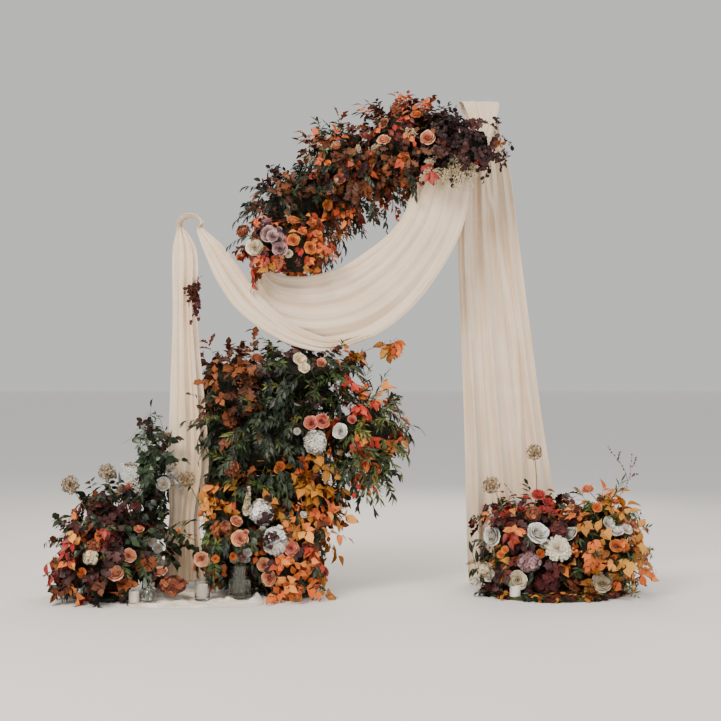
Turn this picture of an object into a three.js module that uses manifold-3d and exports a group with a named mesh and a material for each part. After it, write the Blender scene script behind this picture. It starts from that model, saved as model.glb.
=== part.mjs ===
// A draped wedding canopy hung from a tree limb: one long run of ivory voile and the florist's work that dresses it.
// The voile rises from the right foot, passes over the limb, swags to the left, passes over a side branch and falls
// to the ground. Moss-and-wire sleeves clasp the limb and the trunk and carry the foliage, and two more banks of
// flowers stand in trays at the feet. The limb and the trunk themselves aren't part of it: their spaces stay open.
// Millimetres, +Z up, +X to the viewer's right, +Y away from the viewer. The origin is where the voile sits on the limb.
import * as THREE from "three";
import { mergeVertices } from "three/addons/utils/BufferGeometryUtils.js";
import Module from "manifold-3d";

const wasm = await Module();
wasm.setup();

// Sizes that drive the rest. Places are given from a point on the ground at the middle of the opening.
const GAP = 0.3; // clearance kept between neighbours that touch
const CLOTH = 14; // thickness of the soft solids, far more than the voile itself
const SEAT = { x: 840, y: 60, z: 3418 }; // top of the limb, under the voile
const LIMB_RADIUS = 92;
const BRANCH = { x: -1172, y: -190, z: 2492, radius: 52 }; // side branch that carries the left fall
const TRUNK = { x: -720, y: 300, radius: 370, top: 2400 };
const SLEEVE_WALL = 36;

// Materials, in the colours of the real finishes.
function finish(color, roughness, metalness = 0, opacity = 1) {
  return new THREE.MeshStandardMaterial({ color, roughness, metalness, opacity, transparent: opacity < 1 });
}
const voile = finish(0xe6dccb, 0.85);
const moss = finish(0x4a4a2c, 0.95);
const jute = finish(0x8a6d46, 0.9);
const boardPaint = finish(0x2a3326, 0.7);
const greenFoliage = finish(0x2e3d26, 0.8);
const rustFoliage = finish(0xa2521f, 0.8);
const burgundyFoliage = finish(0x3a1416, 0.75);
const whitePetal = finish(0xe8e0d6, 0.8);
const peachPetal = finish(0xeaa27c, 0.75);
const coralPetal = finish(0xdd6a55, 0.75);
const lilacPetal = finish(0xb79aa0, 0.8);
const rustPetal = finish(0xa0532c, 0.8);
const driedSeed = finish(0x8d7550, 0.9);
const clearGlass = finish(0xdfe8e2, 0.05, 0, 0.35);
const wax = finish(0xf0ebe0, 0.5);

// Solids and the group they are collected in

function solidOf(geometry) {
  const bare = geometry.index ? geometry.clone() : geometry;
  for (const extra of ["normal", "uv"]) bare.deleteAttribute(extra);
  const merged = mergeVertices(bare, 1e-3);
  const triVerts = new Uint32Array(merged.index.array);
  const vertProperties = new Float32Array(merged.attributes.position.array);
  return new wasm.Manifold(new wasm.Mesh({ numProp: 3, vertProperties, triVerts }));
}

function geometryOf(solid) {
  const mesh = solid.getMesh();
  const geometry = new THREE.BufferGeometry();
  geometry.setAttribute("position", new THREE.BufferAttribute(new Float32Array(mesh.vertProperties), 3));
  geometry.setIndex(new THREE.BufferAttribute(new Uint32Array(mesh.triVerts), 1));
  geometry.computeVertexNormals();
  return geometry;
}

// A closed mesh from a grid of points, rows of equal length: the ends are capped and the rows closed on themselves.
function loft(rings) {
  const count = rings[0].length;
  const points = rings.flat();
  const faces = [];
  rings.slice(1).forEach((_, r) => {
    for (let i = 0; i < count; i++) {
      const a = r * count + i;
      const b = r * count + ((i + 1) % count);
      faces.push(a, b, b + count, a, b + count, a + count);
    }
  });
  const first = points.push(centreOf(rings[0])) - 1;
  const last = points.push(centreOf(rings.at(-1))) - 1;
  const end = (rings.length - 1) * count;
  for (let i = 0; i < count; i++) {
    const next = (i + 1) % count;
    faces.push(first, next, i, last, end + i, end + next);
  }
  return turnedOut(points, faces);
}

function centreOf(ring) {
  return ring.reduce((sum, p) => sum.add(p), new THREE.Vector3()).divideScalar(ring.length);
}

function turnedOut(points, faces) {
  const build = (order) => {
    const geometry = new THREE.BufferGeometry().setFromPoints(points);
    geometry.setIndex(order);
    return solidOf(geometry);
  };
  const solid = build(faces);
  if (solid.volume() > 0) return solid;
  const flipped = [];
  for (let i = 0; i < faces.length; i += 3) flipped.push(faces[i], faces[i + 2], faces[i + 1]);
  return build(flipped);
}

// A sheet of cloth as a closed solid: pointAt(u, v) is its middle, u across the cloth and v along its run.
function sheet(pointAt, across, along, grow = 0) {
  const half = CLOTH / 2 + grow;
  const step = 1e-3;
  const rings = [];
  for (let j = 0; j <= along; j++) {
    const v = j / along;
    const side = (facing) => (i) => {
      const u = i / across;
      const here = pointAt(u, v);
      const du = pointAt(u + step, v).sub(pointAt(u - step, v));
      const dv = pointAt(u, v + step).sub(pointAt(u, v - step));
      const beyond = i === 0 ? -grow : i === across ? grow : 0;
      here.addScaledVector(du.clone().normalize(), beyond).add(du.cross(dv).setLength(half * facing));
      here.z = Math.max(here.z, -grow);
      return here;
    };
    const columns = [...Array(across + 1).keys()];
    rings.push([...columns.map(side(1)), ...columns.reverse().map(side(-1))]);
  }
  if (grow) {
    const lengthen = (ring, next) => ring.map((p, i) => p.clone().add(p.clone().sub(next[i]).setLength(grow)));
    rings.unshift(lengthen(rings[0], rings[1]));
    rings.push(lengthen(rings.at(-1), rings.at(-2)));
  }
  return strip(rings, across + 1);
}

// Joins the rings of a sheet, whose ends are closed column by column because the section is thin and bent.
function strip(rings, columns) {
  const count = 2 * columns;
  const points = rings.flat();
  const faces = [];
  const quad = (a, b, c, d) => faces.push(a, b, c, a, c, d);
  for (let r = 0; r < rings.length - 1; r++) {
    for (let i = 0; i < count; i++) {
      const a = r * count + i;
      const b = r * count + ((i + 1) % count);
      quad(a, b, b + count, a + count);
    }
  }
  const end = (rings.length - 1) * count;
  for (let i = 0; i < columns - 1; i++) {
    const j = count - 1 - i;
    quad(i, j, j - 1, i + 1);
    quad(end + i, end + i + 1, end + j - 1, end + j);
  }
  return turnedOut(points, faces);
}

// A lumpy mass of foliage or petals about a middle, with radii along X, Y and Z.
function lump({ at, radii, detail = 2, rough = 0.1, phase = 0 }) {
  return (grow) => {
    const geometry = new THREE.IcosahedronGeometry(1, detail);
    const position = geometry.attributes.position;
    const p = new THREE.Vector3();
    for (let i = 0; i < position.count; i++) {
      p.fromBufferAttribute(position, i);
      const bumps = Math.sin(4.1 * p.x + phase) * Math.cos(3.7 * p.y - phase) + Math.sin(5.3 * p.z + 2 * phase);
      const swell = 1 + rough * bumps;
      p.set(p.x * radii[0], p.y * radii[1], p.z * radii[2]).multiplyScalar(swell);
      p.add(p.clone().setLength(grow));
      position.setXYZ(i, p.x + at[0], p.y + at[1], Math.max(p.z + at[2], -grow));
    }
    return solidOf(geometry);
  };
}

// An upright round solid: a closed profile of [radius, height] points, turned about a vertical axis through a point
function turned(profile, [x, y, z], sides = 16) {
  const outline = profile.map(([r, h]) => new THREE.Vector2(r, h));
  return solidOf(new THREE.LatheGeometry(outline, sides).rotateX(Math.PI / 2).translate(x, y, z));
}

function upright(radius, height, at, sides = 16) {
  return (grow) => {
    const geometry = new THREE.CylinderGeometry(radius + grow, radius + grow, height + 2 * grow, sides);
    return solidOf(geometry.rotateX(Math.PI / 2).translate(at[0], at[1], at[2] + height / 2));
  };
}

// A round bar or a solid tube through points
function pipe(points, radius, sides) {
  const at = points.map((p) => new THREE.Vector3(...p));
  const run = at.at(-1).clone().sub(at[0]).normalize();
  const side = Math.abs(run.z) > 0.8 ? new THREE.Vector3(0, 1, 0) : new THREE.Vector3(0, 0, 1);
  const rings = at.map((p, i) => {
    const along = at[Math.min(i + 1, at.length - 1)].clone().sub(at[Math.max(i - 1, 0)]).normalize();
    const across = side.clone().cross(along).normalize();
    const up = along.clone().cross(across);
    return [...Array(sides).keys()].map((k) => {
      const turn = (2 * Math.PI * k) / sides;
      return p.clone().addScaledVector(across, radius * Math.cos(turn)).addScaledVector(up, radius * Math.sin(turn));
    });
  });
  return loft(rings);
}

const placed = [];
const canopy = new THREE.Group();
canopy.position.set(-SEAT.x, -SEAT.y, -SEAT.z);

function boxesMeet(a, b) {
  return [0, 1, 2].every((k) => a.min[k] <= b.max[k] + GAP && b.min[k] <= a.max[k] + GAP);
}

// Adds a node. What it would share with an earlier node is cut away from it, so the order below is the order of
// precedence, and a piece that a cut parts from the main one is dropped.
function add(name, material, shape, keepOut = shape) {
  let solid = shape(0);
  for (const earlier of placed) {
    const cutter = earlier.keepOut(GAP);
    if (boxesMeet(solid.boundingBox(), cutter.boundingBox())) solid = solid.subtract(cutter);
  }
  solid = solid.decompose().sort((a, b) => b.volume() - a.volume())[0];
  placed.push({ keepOut });
  const mesh = new THREE.Mesh(geometryOf(solid), material);
  mesh.name = name;
  canopy.add(mesh);
}

// Keeps a space empty of every later node
function keepClear(keepOut) {
  placed.push({ keepOut });
}

// An edge of the cloth in its own plane, as a smooth curve through [x, z] points
function edge(points) {
  const curve = new THREE.CatmullRomCurve3(points.map(([x, z]) => new THREE.Vector3(x, 0, z)), false, "centripetal");
  return (t) => {
    const inside = THREE.MathUtils.clamp(t, 0, 1);
    const p = curve.getPoint(inside);
    const beyond = t - inside;
    return beyond ? p.addScaledVector(curve.getTangent(inside), beyond * curve.getLength()) : p;
  };
}

// The voile

const RIGHT_LEG = {
  left: edge([[788, 3298], [730, 2950], [702, 2480], [722, 1870], [750, 1090], [772, 590], [790, 0]]),
  right: edge([[985, 3298], [1050, 2990], [1130, 2310], [1188, 1800], [1275, 1160], [1347, 730], [1480, 0]]),
  y: 165, pleats: 5, depth: 24,
};
const LEFT_LEG = {
  left: edge([[-1264, 2493], [-1288, 2300], [-1295, 1790], [-1322, 900], [-1310, 600], [-1345, 280], [-1357, 0]]),
  right: edge([[-1212, 2493], [-1140, 2330], [-1123, 1860], [-1051, 1140], [-1040, 860], [-1105, 520], [-1060, 0]]),
  y: -205, pleats: 3, depth: 16,
};
const SWAG_MAIN = {
  top: edge([[-705, 2300], [-620, 2200], [-490, 2158], [-317, 2155], [-108, 2190], [80, 2280], [240, 2420],
    [379, 2593], [510, 2802]]),
  bottom: edge([[-785, 2110], [-720, 1930], [-640, 1805], [-530, 1725], [-330, 1672], [-80, 1690], [180, 1800], [400, 1985],
    [590, 2250], [720, 2520], [772, 2802]]),
  y: -118, belly: 60, folds: 4, depth: 20,
};
const FRONT_FOLD = {
  top: edge([[-1086, 2494], [-943, 2364], [-817, 2197], [-685, 2023], [-525, 1877], [-351, 1775], [-143, 1730], [120, 1800]]),
  bottom: edge([[-1120, 2494], [-1047, 2266], [-963, 2093], [-838, 1919], [-630, 1755], [-421, 1664], [-212, 1640],
    [90, 1742]]),
  y: -225, belly: 20, folds: 2, depth: 16,
};

// Pleats no deeper than the cloth's thickness lets them be where the cloth is narrow
function pleatDepth(depth, width, count) {
  return Math.min(depth, (width / count) ** 2 / 380);
}

// A fall of cloth from a gather at the top to the ground, in upright pleats that open as it widens
function fall({ left, right, y, pleats, depth }, grow) {
  const pointAt = (u, v) => {
    const a = left(v);
    const b = right(v);
    const wave = Math.cos(2 * Math.PI * pleats * u) + 0.25 * Math.sin(2 * Math.PI * (pleats - 2) * u + 1);
    const open = pleatDepth(depth, a.distanceTo(b), pleats);
    return new THREE.Vector3(a.x + (b.x - a.x) * u, y + open * wave, a.z + (b.z - a.z) * u);
  };
  return sheet(pointAt, 4 * pleats, 9, grow);
}

// A swag between two gathers: nested folds that hang from its upper edge and belly out towards the viewer
function swag({ top, bottom, y, belly, folds, depth }, along, grow) {
  const pointAt = (u, v) => {
    const a = top(v);
    const b = bottom(v);
    const slack = Math.sin(Math.PI * THREE.MathUtils.clamp(v, 0.04, 0.96));
    const bulge = belly * slack * Math.sin(0.6 * Math.PI * u);
    const fold = pleatDepth(depth, a.distanceTo(b), folds) * Math.cos(2 * Math.PI * folds * u);
    return new THREE.Vector3(a.x + (b.x - a.x) * u, y - bulge + fold, a.z + (b.z - a.z) * u);
  };
  return sheet(pointAt, 4 * folds, along, grow);
}

// The voile over the limb: up at the back, round the top in seven flats, and down in front to where the swag leaves it
function limbLoop(grow) {
  const flats = 7;
  const radius = LIMB_RADIUS / Math.cos(Math.PI / 2 / flats) + CLOTH / 2;
  const middle = SEAT.z - LIMB_RADIUS;
  const path = [new THREE.Vector3(0, SEAT.y + radius, middle - 30)];
  const widths = [[788, 985]];
  for (let i = 0; i <= flats; i++) {
    const turn = (Math.PI * i) / flats;
    path.push(new THREE.Vector3(0, SEAT.y + radius * Math.cos(turn), middle + radius * Math.sin(turn)));
    widths.push([690 + 40 * Math.abs(Math.cos(turn)), 985 - 20 * (1 - Math.cos(turn)) / 2]);
  }
  const apron = [[-46, 3210, 790, 930], [-62, 3080, 690, 880], [-85, 2940, 590, 820], [-110, 2800, 510, 772]];
  for (const [y, z, left, right] of apron) {
    path.push(new THREE.Vector3(0, y, z));
    widths.push([left, right]);
  }
  path[0].z -= grow;
  path.at(-1).z -= grow;
  const rings = path.map((p, i) => {
    const ahead = path[Math.min(i + 1, path.length - 1)].clone().sub(path[Math.max(i - 1, 0)]);
    const out = new THREE.Vector3(0, ahead.z, -ahead.y).normalize();
    const half = (CLOTH / 2) / Math.cos(i > 0 && i < flats + 2 ? Math.PI / 2 / flats : 0) + grow;
    const [left, right] = widths[i];
    const corner = (x, facing) => new THREE.Vector3(x, p.y, p.z).addScaledVector(out, half * facing);
    return [corner(left - grow, 1), corner(right + grow, 1), corner(right + grow, -1), corner(left - grow, -1)];
  });
  return strip(rings, 2);
}

// The gathered voile over the side branch, between the swag's left end and the left fall
function branchLoop(grow) {
  const steps = 9;
  const rings = [];
  const reach = BRANCH.radius + CLOTH;
  for (let i = 0; i <= steps; i++) {
    const turn = (Math.PI * i) / steps;
    const bunch = 26 + 10 * Math.sin(turn) + grow;
    const middle = new THREE.Vector3(BRANCH.x + reach * Math.cos(turn), BRANCH.y, BRANCH.z + reach * Math.sin(turn));
    const out = new THREE.Vector3(Math.cos(turn), 0, Math.sin(turn));
    const ring = [];
    for (let k = 0; k < 8; k++) {
      const around = (2 * Math.PI * (k + 0.5)) / 8;
      const radial = Math.max(Math.cos(around) * bunch * 0.9, -CLOTH - grow);
      ring.push(middle.clone().addScaledVector(out, radial).add(new THREE.Vector3(0, Math.sin(around) * bunch * 1.7, 0)));
    }
    rings.push(ring);
  }
  return loft(rings);
}

// The tail of the voile, laid on the grass round the glasses and candles in front of the left foot
const RISE = 30; // height of its folds
const PRESSED = 8; // thickness left under what stands on it

function pool(grow) {
  const outline = new THREE.Shape(new THREE.SplineCurve([
    [-1500, -640], [-1440, -790], [-1180, -805], [-880, -790], [-655, -735], [-630, -560], [-690, -405], [-860, -385],
    [-990, -330], [-1040, -190], [-1370, -170], [-1430, -500],
  ].map(([x, y]) => new THREE.Vector2(x, y))).getPoints(30));
  const geometry = new THREE.ExtrudeGeometry(outline, {
    depth: RISE - 10 + grow, bevelEnabled: true, bevelThickness: 10, bevelSize: 10 + grow, bevelSegments: 1,
  });
  return solidOf(geometry.translate(0, 0, 10 - grow)).trimByPlane([0, 0, 1], -grow);
}

// The moss-and-wire sleeves that clasp the limb and the trunk

const LIMB_PATH = [[655, 78, 3245], [500, 92, 3195], [330, 110, 3135], [135, 134, 3058], [-60, 160, 2965], [-250, 192, 2842],
  [-430, 230, 2700]];
const LIMB_BORE = 100;
const CLASP = { open: 65, height: 780, ties: [390, 1170], tieRadius: 7 };

function lengthened(points, by) {
  const beyond = (end, next) => {
    const from = new THREE.Vector3(...end);
    return from.clone().add(from.clone().sub(new THREE.Vector3(...next)).setLength(by)).toArray();
  };
  return [beyond(points[0], points[1]), ...points.slice(1, -1), beyond(points.at(-1), points.at(-2))];
}

// A tube round the limb
function limbSleeve(points) {
  const solid = (grow) => pipe(lengthened(points, grow || 1e-4), LIMB_BORE + SLEEVE_WALL + grow, 12);
  return [() => solid(0).subtract(pipe(lengthened(points, 20), LIMB_BORE, 12)), solid];
}

// A length of the trunk's sleeve: a shell round its front and sides, open at the back so that it can be put on
function trunkSleeve(bottom) {
  return (grow) => {
    const back = THREE.MathUtils.degToRad(CLASP.open) - grow / TRUNK.radius;
    const [start, end] = [Math.PI / 2 + back, Math.PI / 2 - back + 2 * Math.PI];
    const section = new THREE.Shape();
    section.absarc(0, 0, TRUNK.radius + SLEEVE_WALL + grow, start, end, false);
    section.absarc(0, 0, TRUNK.radius - grow, end, start, true);
    const depth = CLASP.height + 2 * grow;
    const geometry = new THREE.ExtrudeGeometry(section, { depth, curveSegments: 12, bevelEnabled: false });
    return solidOf(geometry.translate(TRUNK.x, TRUNK.y, bottom - grow));
  };
}

// A jute tie across the sleeve's open back
function trunkTie(height) {
  const reach = TRUNK.radius + SLEEVE_WALL / 2;
  const back = THREE.MathUtils.degToRad(CLASP.open + 2);
  const points = [-1, -0.75, -0.5, -0.25, 0, 0.25, 0.5, 0.75, 1].map((share) => {
    const turn = Math.PI / 2 + share * back;
    return [TRUNK.x + reach * Math.cos(turn), TRUNK.y + reach * Math.sin(turn), height];
  });
  return (grow) => pipe(points, CLASP.tieRadius + grow, 6);
}

function trunkSpace(radius, bottom, top) {
  return upright(radius, top - bottom, [TRUNK.x, TRUNK.y, bottom], 28);
}

// Base boards, glasses and candles

const BOARD = 18;

function board([x, y], [across, deep]) {
  return (grow) => {
    const outline = new THREE.Shape().absellipse(0, 0, across + grow, deep + grow, 0, 2 * Math.PI);
    const depth = BOARD + 2 * grow;
    const geometry = new THREE.ExtrudeGeometry(outline, { depth, curveSegments: 16, bevelEnabled: false });
    return solidOf(geometry.translate(x, y, -grow));
  };
}

// A straight glass with a thick bottom, and a round one with a neck
function tumbler(radius, height, at) {
  const [wall, bottom] = [4, 10];
  const profile = [[0, 0], [radius, 0], [radius, height], [radius - wall, height], [radius - wall, bottom], [0, bottom]];
  return [() => turned(profile, at), upright(radius, height, at)];
}

function roundVase(radius, height, at) {
  const wall = 4;
  const profile = [[0, 0], [0.6 * radius, 0], [radius, 0.4 * height], [0.8 * radius, 0.75 * height], [0.55 * radius, height],
    [0.55 * radius - wall, height], [0.8 * radius - wall, 0.75 * height], [radius - wall, 0.4 * height],
    [0.6 * radius - wall, 10], [0, 10]];
  return [() => turned(profile, at), upright(radius, height, at)];
}

// Blooms

function stemmed([x, y, z], radius, foot) {
  const head = lump({ at: [x, y, z], radii: [radius, radius, radius], detail: 1, rough: 0.03 });
  const middle = [(x + foot[0]) / 2 + 20, (y + foot[1]) / 2, (z + foot[2]) / 2];
  return (grow) => head(grow).add(pipe([[x, y, z - radius / 2], middle, foot], 5 + grow, 5));
}

const ALLIUMS = {
  allium_left_outer: [[-1940, -400, 742], 66, [-1740, -420, 380]],
  allium_left_inner: [[-1697, -400, 828], 62, [-1660, -420, 420]],
  allium_left_by_cloth: [[-1159, -420, 782], 60, [-1010, -420, 400]],
  allium_left_brown: [[-855, -450, 858], 62, [-850, -420, 420]],
  allium_right_low: [[885, -300, 732], 66, [1010, -270, 420]],
  allium_right_tall: [[1207, -90, 945], 58, [1190, -150, 480]],
};

const HEADS = {
  rose_peach_left: { at: [-778, -590, 418], radii: [64, 56, 58], material: peachPetal },
  rose_coral_cascade: { at: [-290, -355, 1166], radii: [86, 60, 56], material: coralPetal },
  rose_peach_garland: { at: [468, -235, 3118], radii: [64, 54, 56], material: peachPetal },
  rose_lilac_garland: { at: [-591, -345, 2420], radii: [80, 56, 66], material: lilacPetal },
  hydrangea_cascade: { at: [-304, -370, 1029], radii: [80, 70, 90], material: whitePetal },
  hydrangea_left_upper: { at: [-651, -470, 571], radii: [88, 80, 95], material: whitePetal },
  hydrangea_left_lower: { at: [-553, -520, 388], radii: [92, 80, 105], material: whitePetal },
  hydrangea_left_rust: { at: [-1216, -590, 95], radii: [110, 95, 84], material: rustPetal },
  hydrangea_right_lilac: { at: [1118, -465, 243], radii: [85, 74, 72], material: lilacPetal },
  hydrangea_garland: { at: [590, -265, 2855], radii: [125, 74, 92], material: whitePetal },
  dahlia_right_white: { at: [1310, -430, 326], radii: [118, 82, 92], material: whitePetal },
};

// The masses of foliage and small blooms, with radii along X, Y and Z
const FOLIAGE = {
  garland_outer_foliage: { at: [332, 40, 3100], radii: [285, 275, 265], material: rustFoliage, phase: 1.3 },
  garland_middle_foliage: { at: [-60, 85, 2930], radii: [285, 270, 260], material: rustFoliage, phase: 2.1 },
  garland_inner_foliage: { at: [-420, 110, 2690], radii: [285, 270, 255], material: greenFoliage, phase: 0.4 },
  garland_drop_foliage: { at: [-510, -190, 2360], radii: [300, 165, 225], material: rustFoliage, phase: 3.0 },
  cascade_top_foliage: { at: [-415, -170, 1500], radii: [330, 185, 195], material: greenFoliage, phase: 0.9 },
  cascade_shoulder_foliage: { at: [-850, -140, 1370], radii: [240, 150, 230], material: rustFoliage, phase: 1.7 },
  cascade_middle_foliage: { at: [-610, -150, 1040], radii: [450, 240, 300], material: greenFoliage, phase: 2.6 },
  cascade_wing_foliage: { at: [20, -130, 1090], radii: [290, 200, 265], material: rustFoliage, phase: 3.5 },
  cascade_lower_foliage: { at: [-620, -170, 520], radii: [430, 250, 365], material: rustFoliage, phase: 0.2 },
  left_bank_foliage: { at: [-1680, -430, 240], radii: [290, 270, 410], material: burgundyFoliage, phase: 1.1 },
  left_column_foliage: { at: [-1425, -270, 650], radii: [115, 130, 440], material: greenFoliage, phase: 2.3 },
  left_centre_foliage: { at: [-930, -400, 320], radii: [195, 200, 335], material: greenFoliage, phase: 0.7 },
  left_front_foliage: { at: [-480, -330, 200], radii: [260, 215, 370], material: rustFoliage, phase: 1.9 },
  right_bank_foliage: { at: [1120, -140, 230], radii: [345, 325, 405], material: burgundyFoliage, phase: 2.8 },
  right_side_foliage: { at: [1640, -190, 230], radii: [290, 240, 390], material: rustFoliage, phase: 0.5 },
};

function garlandTip(grow) {
  const round = lump({ at: [565, -20, 3095], radii: [205, 245, 225], phase: 0.6 })(grow);
  const arm = lump({ at: [790, -240, 3060], radii: [240, 95, 195], phase: 1.4 })(grow);
  return round.add(arm);
}

// What stands on the cloth on the grass comes first, so that the cloth takes its print
const stand = PRESSED + GAP;
add("votive_candle", wax, upright(36, 88, [-1033, -560, stand + 10 + GAP]));
add("votive_glass", clearGlass, ...tumbler(50, 130, [-1033, -560, stand]));
add("left_glass_vase", clearGlass, ...tumbler(75, 220, [-796, -490, stand]));
add("small_glass_vase", clearGlass, ...roundVase(48, 92, [-1369, -640, stand]));
add("left_pillar_candle", wax, upright(34, 74, [-1462, -640, stand]));
add("ground_pool_cloth", voile, pool);

add("right_limb_loop", voile, limbLoop);
add("right_leg_drape", voile, (grow) => fall(RIGHT_LEG, grow));
add("swag_main_drape", voile, (grow) => swag(SWAG_MAIN, 14, grow));
add("left_branch_loop", voile, branchLoop);
add("swag_front_fold", voile, (grow) => swag(FRONT_FOLD, 12, grow));
add("left_leg_drape", voile, (grow) => fall(LEFT_LEG, grow));

add("limb_sleeve_outer", moss, ...limbSleeve(LIMB_PATH.slice(0, 4)));
add("limb_sleeve_inner", moss, ...limbSleeve(LIMB_PATH.slice(3)));
add("trunk_sleeve_lower", moss, trunkSleeve(0));
add("trunk_sleeve_upper", moss, trunkSleeve(CLASP.height + GAP));
add("trunk_tie_low", jute, trunkTie(CLASP.ties[0]));
add("trunk_tie_high", jute, trunkTie(CLASP.ties[1]));
add("left_base_board", boardPaint, board([-1680, -430], [190, 170]));
add("centre_base_board", boardPaint, board([-470, -330], [180, 140]));
add("right_base_board", boardPaint, board([1300, -270], [460, 330]));
add("right_pillar_candle", wax, upright(35, 72, [1018, -490, BOARD + GAP]));

// The limb's and the trunk's own spaces, which nothing more enters
keepClear(trunkSpace(TRUNK.radius + SLEEVE_WALL / 2, 0, 2 * CLASP.height));
keepClear(trunkSpace(TRUNK.radius, 2 * CLASP.height, TRUNK.top));
keepClear((grow) => pipe([[560, 86, 3213], [760, 68, 3300], [1100, 45, 3335]], LIMB_BORE + grow, 12));
keepClear((grow) => pipe([[-400, 224, 2722], [-530, 260, 2570], [-640, 290, 2400]], LIMB_BORE + grow, 12));

for (const [name, [head, radius, foot]] of Object.entries(ALLIUMS)) add(name, driedSeed, stemmed(head, radius, foot));
for (const [name, { at, radii, material }] of Object.entries(HEADS)) {
  add(name, material, lump({ at, radii, detail: 1, rough: 0.04 }));
}
add("garland_tip_foliage", burgundyFoliage, garlandTip);
for (const [name, { material, ...shape }] of Object.entries(FOLIAGE)) add(name, material, lump(shape));

export default canopy;
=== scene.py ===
"""A draped wedding canopy: two falls and a swag of ivory voile, dressed with autumn foliage and blooms.

Every place is in millimetres from a point on the ground under the middle of the opening, as in the part's
source, and site() turns it into the model's metres.
"""
import math

import bpy
import numpy as np
from mathutils import Matrix, Vector, noise
from mathutils.bvhtree import BVHTree


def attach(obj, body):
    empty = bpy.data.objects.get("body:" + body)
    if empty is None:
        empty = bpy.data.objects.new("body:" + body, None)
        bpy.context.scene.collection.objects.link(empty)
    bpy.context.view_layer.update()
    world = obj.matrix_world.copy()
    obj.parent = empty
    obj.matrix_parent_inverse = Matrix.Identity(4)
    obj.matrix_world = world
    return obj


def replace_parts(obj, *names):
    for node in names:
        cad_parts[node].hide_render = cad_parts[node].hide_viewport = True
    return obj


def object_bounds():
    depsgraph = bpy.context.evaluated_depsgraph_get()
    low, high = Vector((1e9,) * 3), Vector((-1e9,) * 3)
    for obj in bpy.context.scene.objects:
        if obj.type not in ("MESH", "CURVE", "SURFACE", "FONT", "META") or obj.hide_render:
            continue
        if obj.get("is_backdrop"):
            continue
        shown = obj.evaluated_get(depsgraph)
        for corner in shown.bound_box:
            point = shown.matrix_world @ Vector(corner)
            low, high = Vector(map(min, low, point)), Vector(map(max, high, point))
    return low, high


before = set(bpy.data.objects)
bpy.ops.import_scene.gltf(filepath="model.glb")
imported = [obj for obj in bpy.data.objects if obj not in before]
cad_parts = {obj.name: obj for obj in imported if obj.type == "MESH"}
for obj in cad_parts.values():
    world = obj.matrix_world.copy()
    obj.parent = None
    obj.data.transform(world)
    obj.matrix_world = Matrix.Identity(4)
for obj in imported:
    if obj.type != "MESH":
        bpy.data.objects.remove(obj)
cad_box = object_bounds()

SEAT = np.array((840.0, 60.0, 3418.0))  # the seat under the voile's loop, the model's origin
FOCAL_PX, PHOTO_PX = 1150.0, 721.0
MIDDLE_PX, HORIZON_PX = 360.5, 388.0
EYE = np.array((0.0, -8100.0, 1390.0))
TILT = 1.37  # degrees that the camera looks up
UP = np.array((0, 0, 1.0))
rng = np.random.default_rng(7)


def site(points):
    return (np.asarray(points, float) - SEAT) / 1000.0


def at_pixel(px, py, y):
    """The place at depth y that the photograph shows at a pixel."""
    scale = FOCAL_PX / (y - EYE[1])
    return np.array(((px - MIDDLE_PX) / scale, y, EYE[2] - (py - HORIZON_PX) / scale))


def pixel(points):
    """Where the photograph shows places."""
    scale = FOCAL_PX / (points[:, 1] - EYE[1])
    return np.stack([MIDDLE_PX + points[:, 0] * scale, HORIZON_PX - (points[:, 2] - EYE[2]) * scale], -1)


def linear(code):
    """An sRGB hex colour as Blender's linear one."""
    parts = [int(code[i:i + 2], 16) / 255 for i in (0, 2, 4)]
    return tuple(c / 12.92 if c <= 0.04045 else ((c + 0.055) / 1.055) ** 2.4 for c in parts) + (1.0,)


def node(tree, kind, settings=None, **inputs):
    """Adds a node, or takes one that is there. Settings are its own properties, and inputs are values,
    sockets, or nodes whose first output feeds it."""
    made = tree.nodes.new(kind) if isinstance(kind, str) else kind
    for name, value in (settings or {}).items():
        setattr(made, name, value)
    for name, value in inputs.items():
        socket = made.inputs[int(name[1:])] if name[1:].isdigit() else made.inputs[name.replace("_", " ")]
        if isinstance(value, bpy.types.Node):
            value = value.outputs[0]
        if isinstance(value, bpy.types.NodeSocket):
            tree.links.new(value, socket)
        else:
            socket.default_value = value
    return made


def ramp(tree, fac, stops):
    made = node(tree, "ShaderNodeValToRGB", Fac=fac)
    elements = made.color_ramp.elements
    while len(elements) < len(stops):
        elements.new(0.5)
    for element, (place, colour) in zip(elements, stops):
        element.position = place
        element.color = linear(colour)
    return made


def surface(name, **inputs):
    """A new material, with constants on its shader's sockets."""
    made = bpy.data.materials.new(name)
    made.use_nodes = True
    tree = made.node_tree
    return made, tree, node(tree, tree.nodes["Principled BSDF"], **inputs)


def speckled(name, scale, detail, stops, bump=None, **inputs):
    """A surface whose colour wanders with noise, which also raises bumps of a strength and a depth."""
    made, tree, shader = surface(name, **inputs)
    coords = node(tree, "ShaderNodeTexCoord").outputs
    spots = node(tree, "ShaderNodeTexNoise", Vector=coords["Object"], Scale=scale, Detail=detail)
    node(tree, shader, Base_Color=ramp(tree, spots, stops))
    if bump:
        strength, depth = bump
        relief = node(tree, "ShaderNodeBump", Strength=strength, Distance=depth, Height=spots)
        node(tree, shader, Normal=relief)
    return made


# Camera, light and floor

bpy.ops.object.select_all(action="DESELECT")
bpy.ops.object.camera_add(location=site(EYE), rotation=(math.radians(90 + TILT), 0, 0))
camera = bpy.context.object
camera.data.lens = camera.data.sensor_width * FOCAL_PX / PHOTO_PX
camera.data.clip_end = 1000
bpy.context.scene.camera = camera


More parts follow.
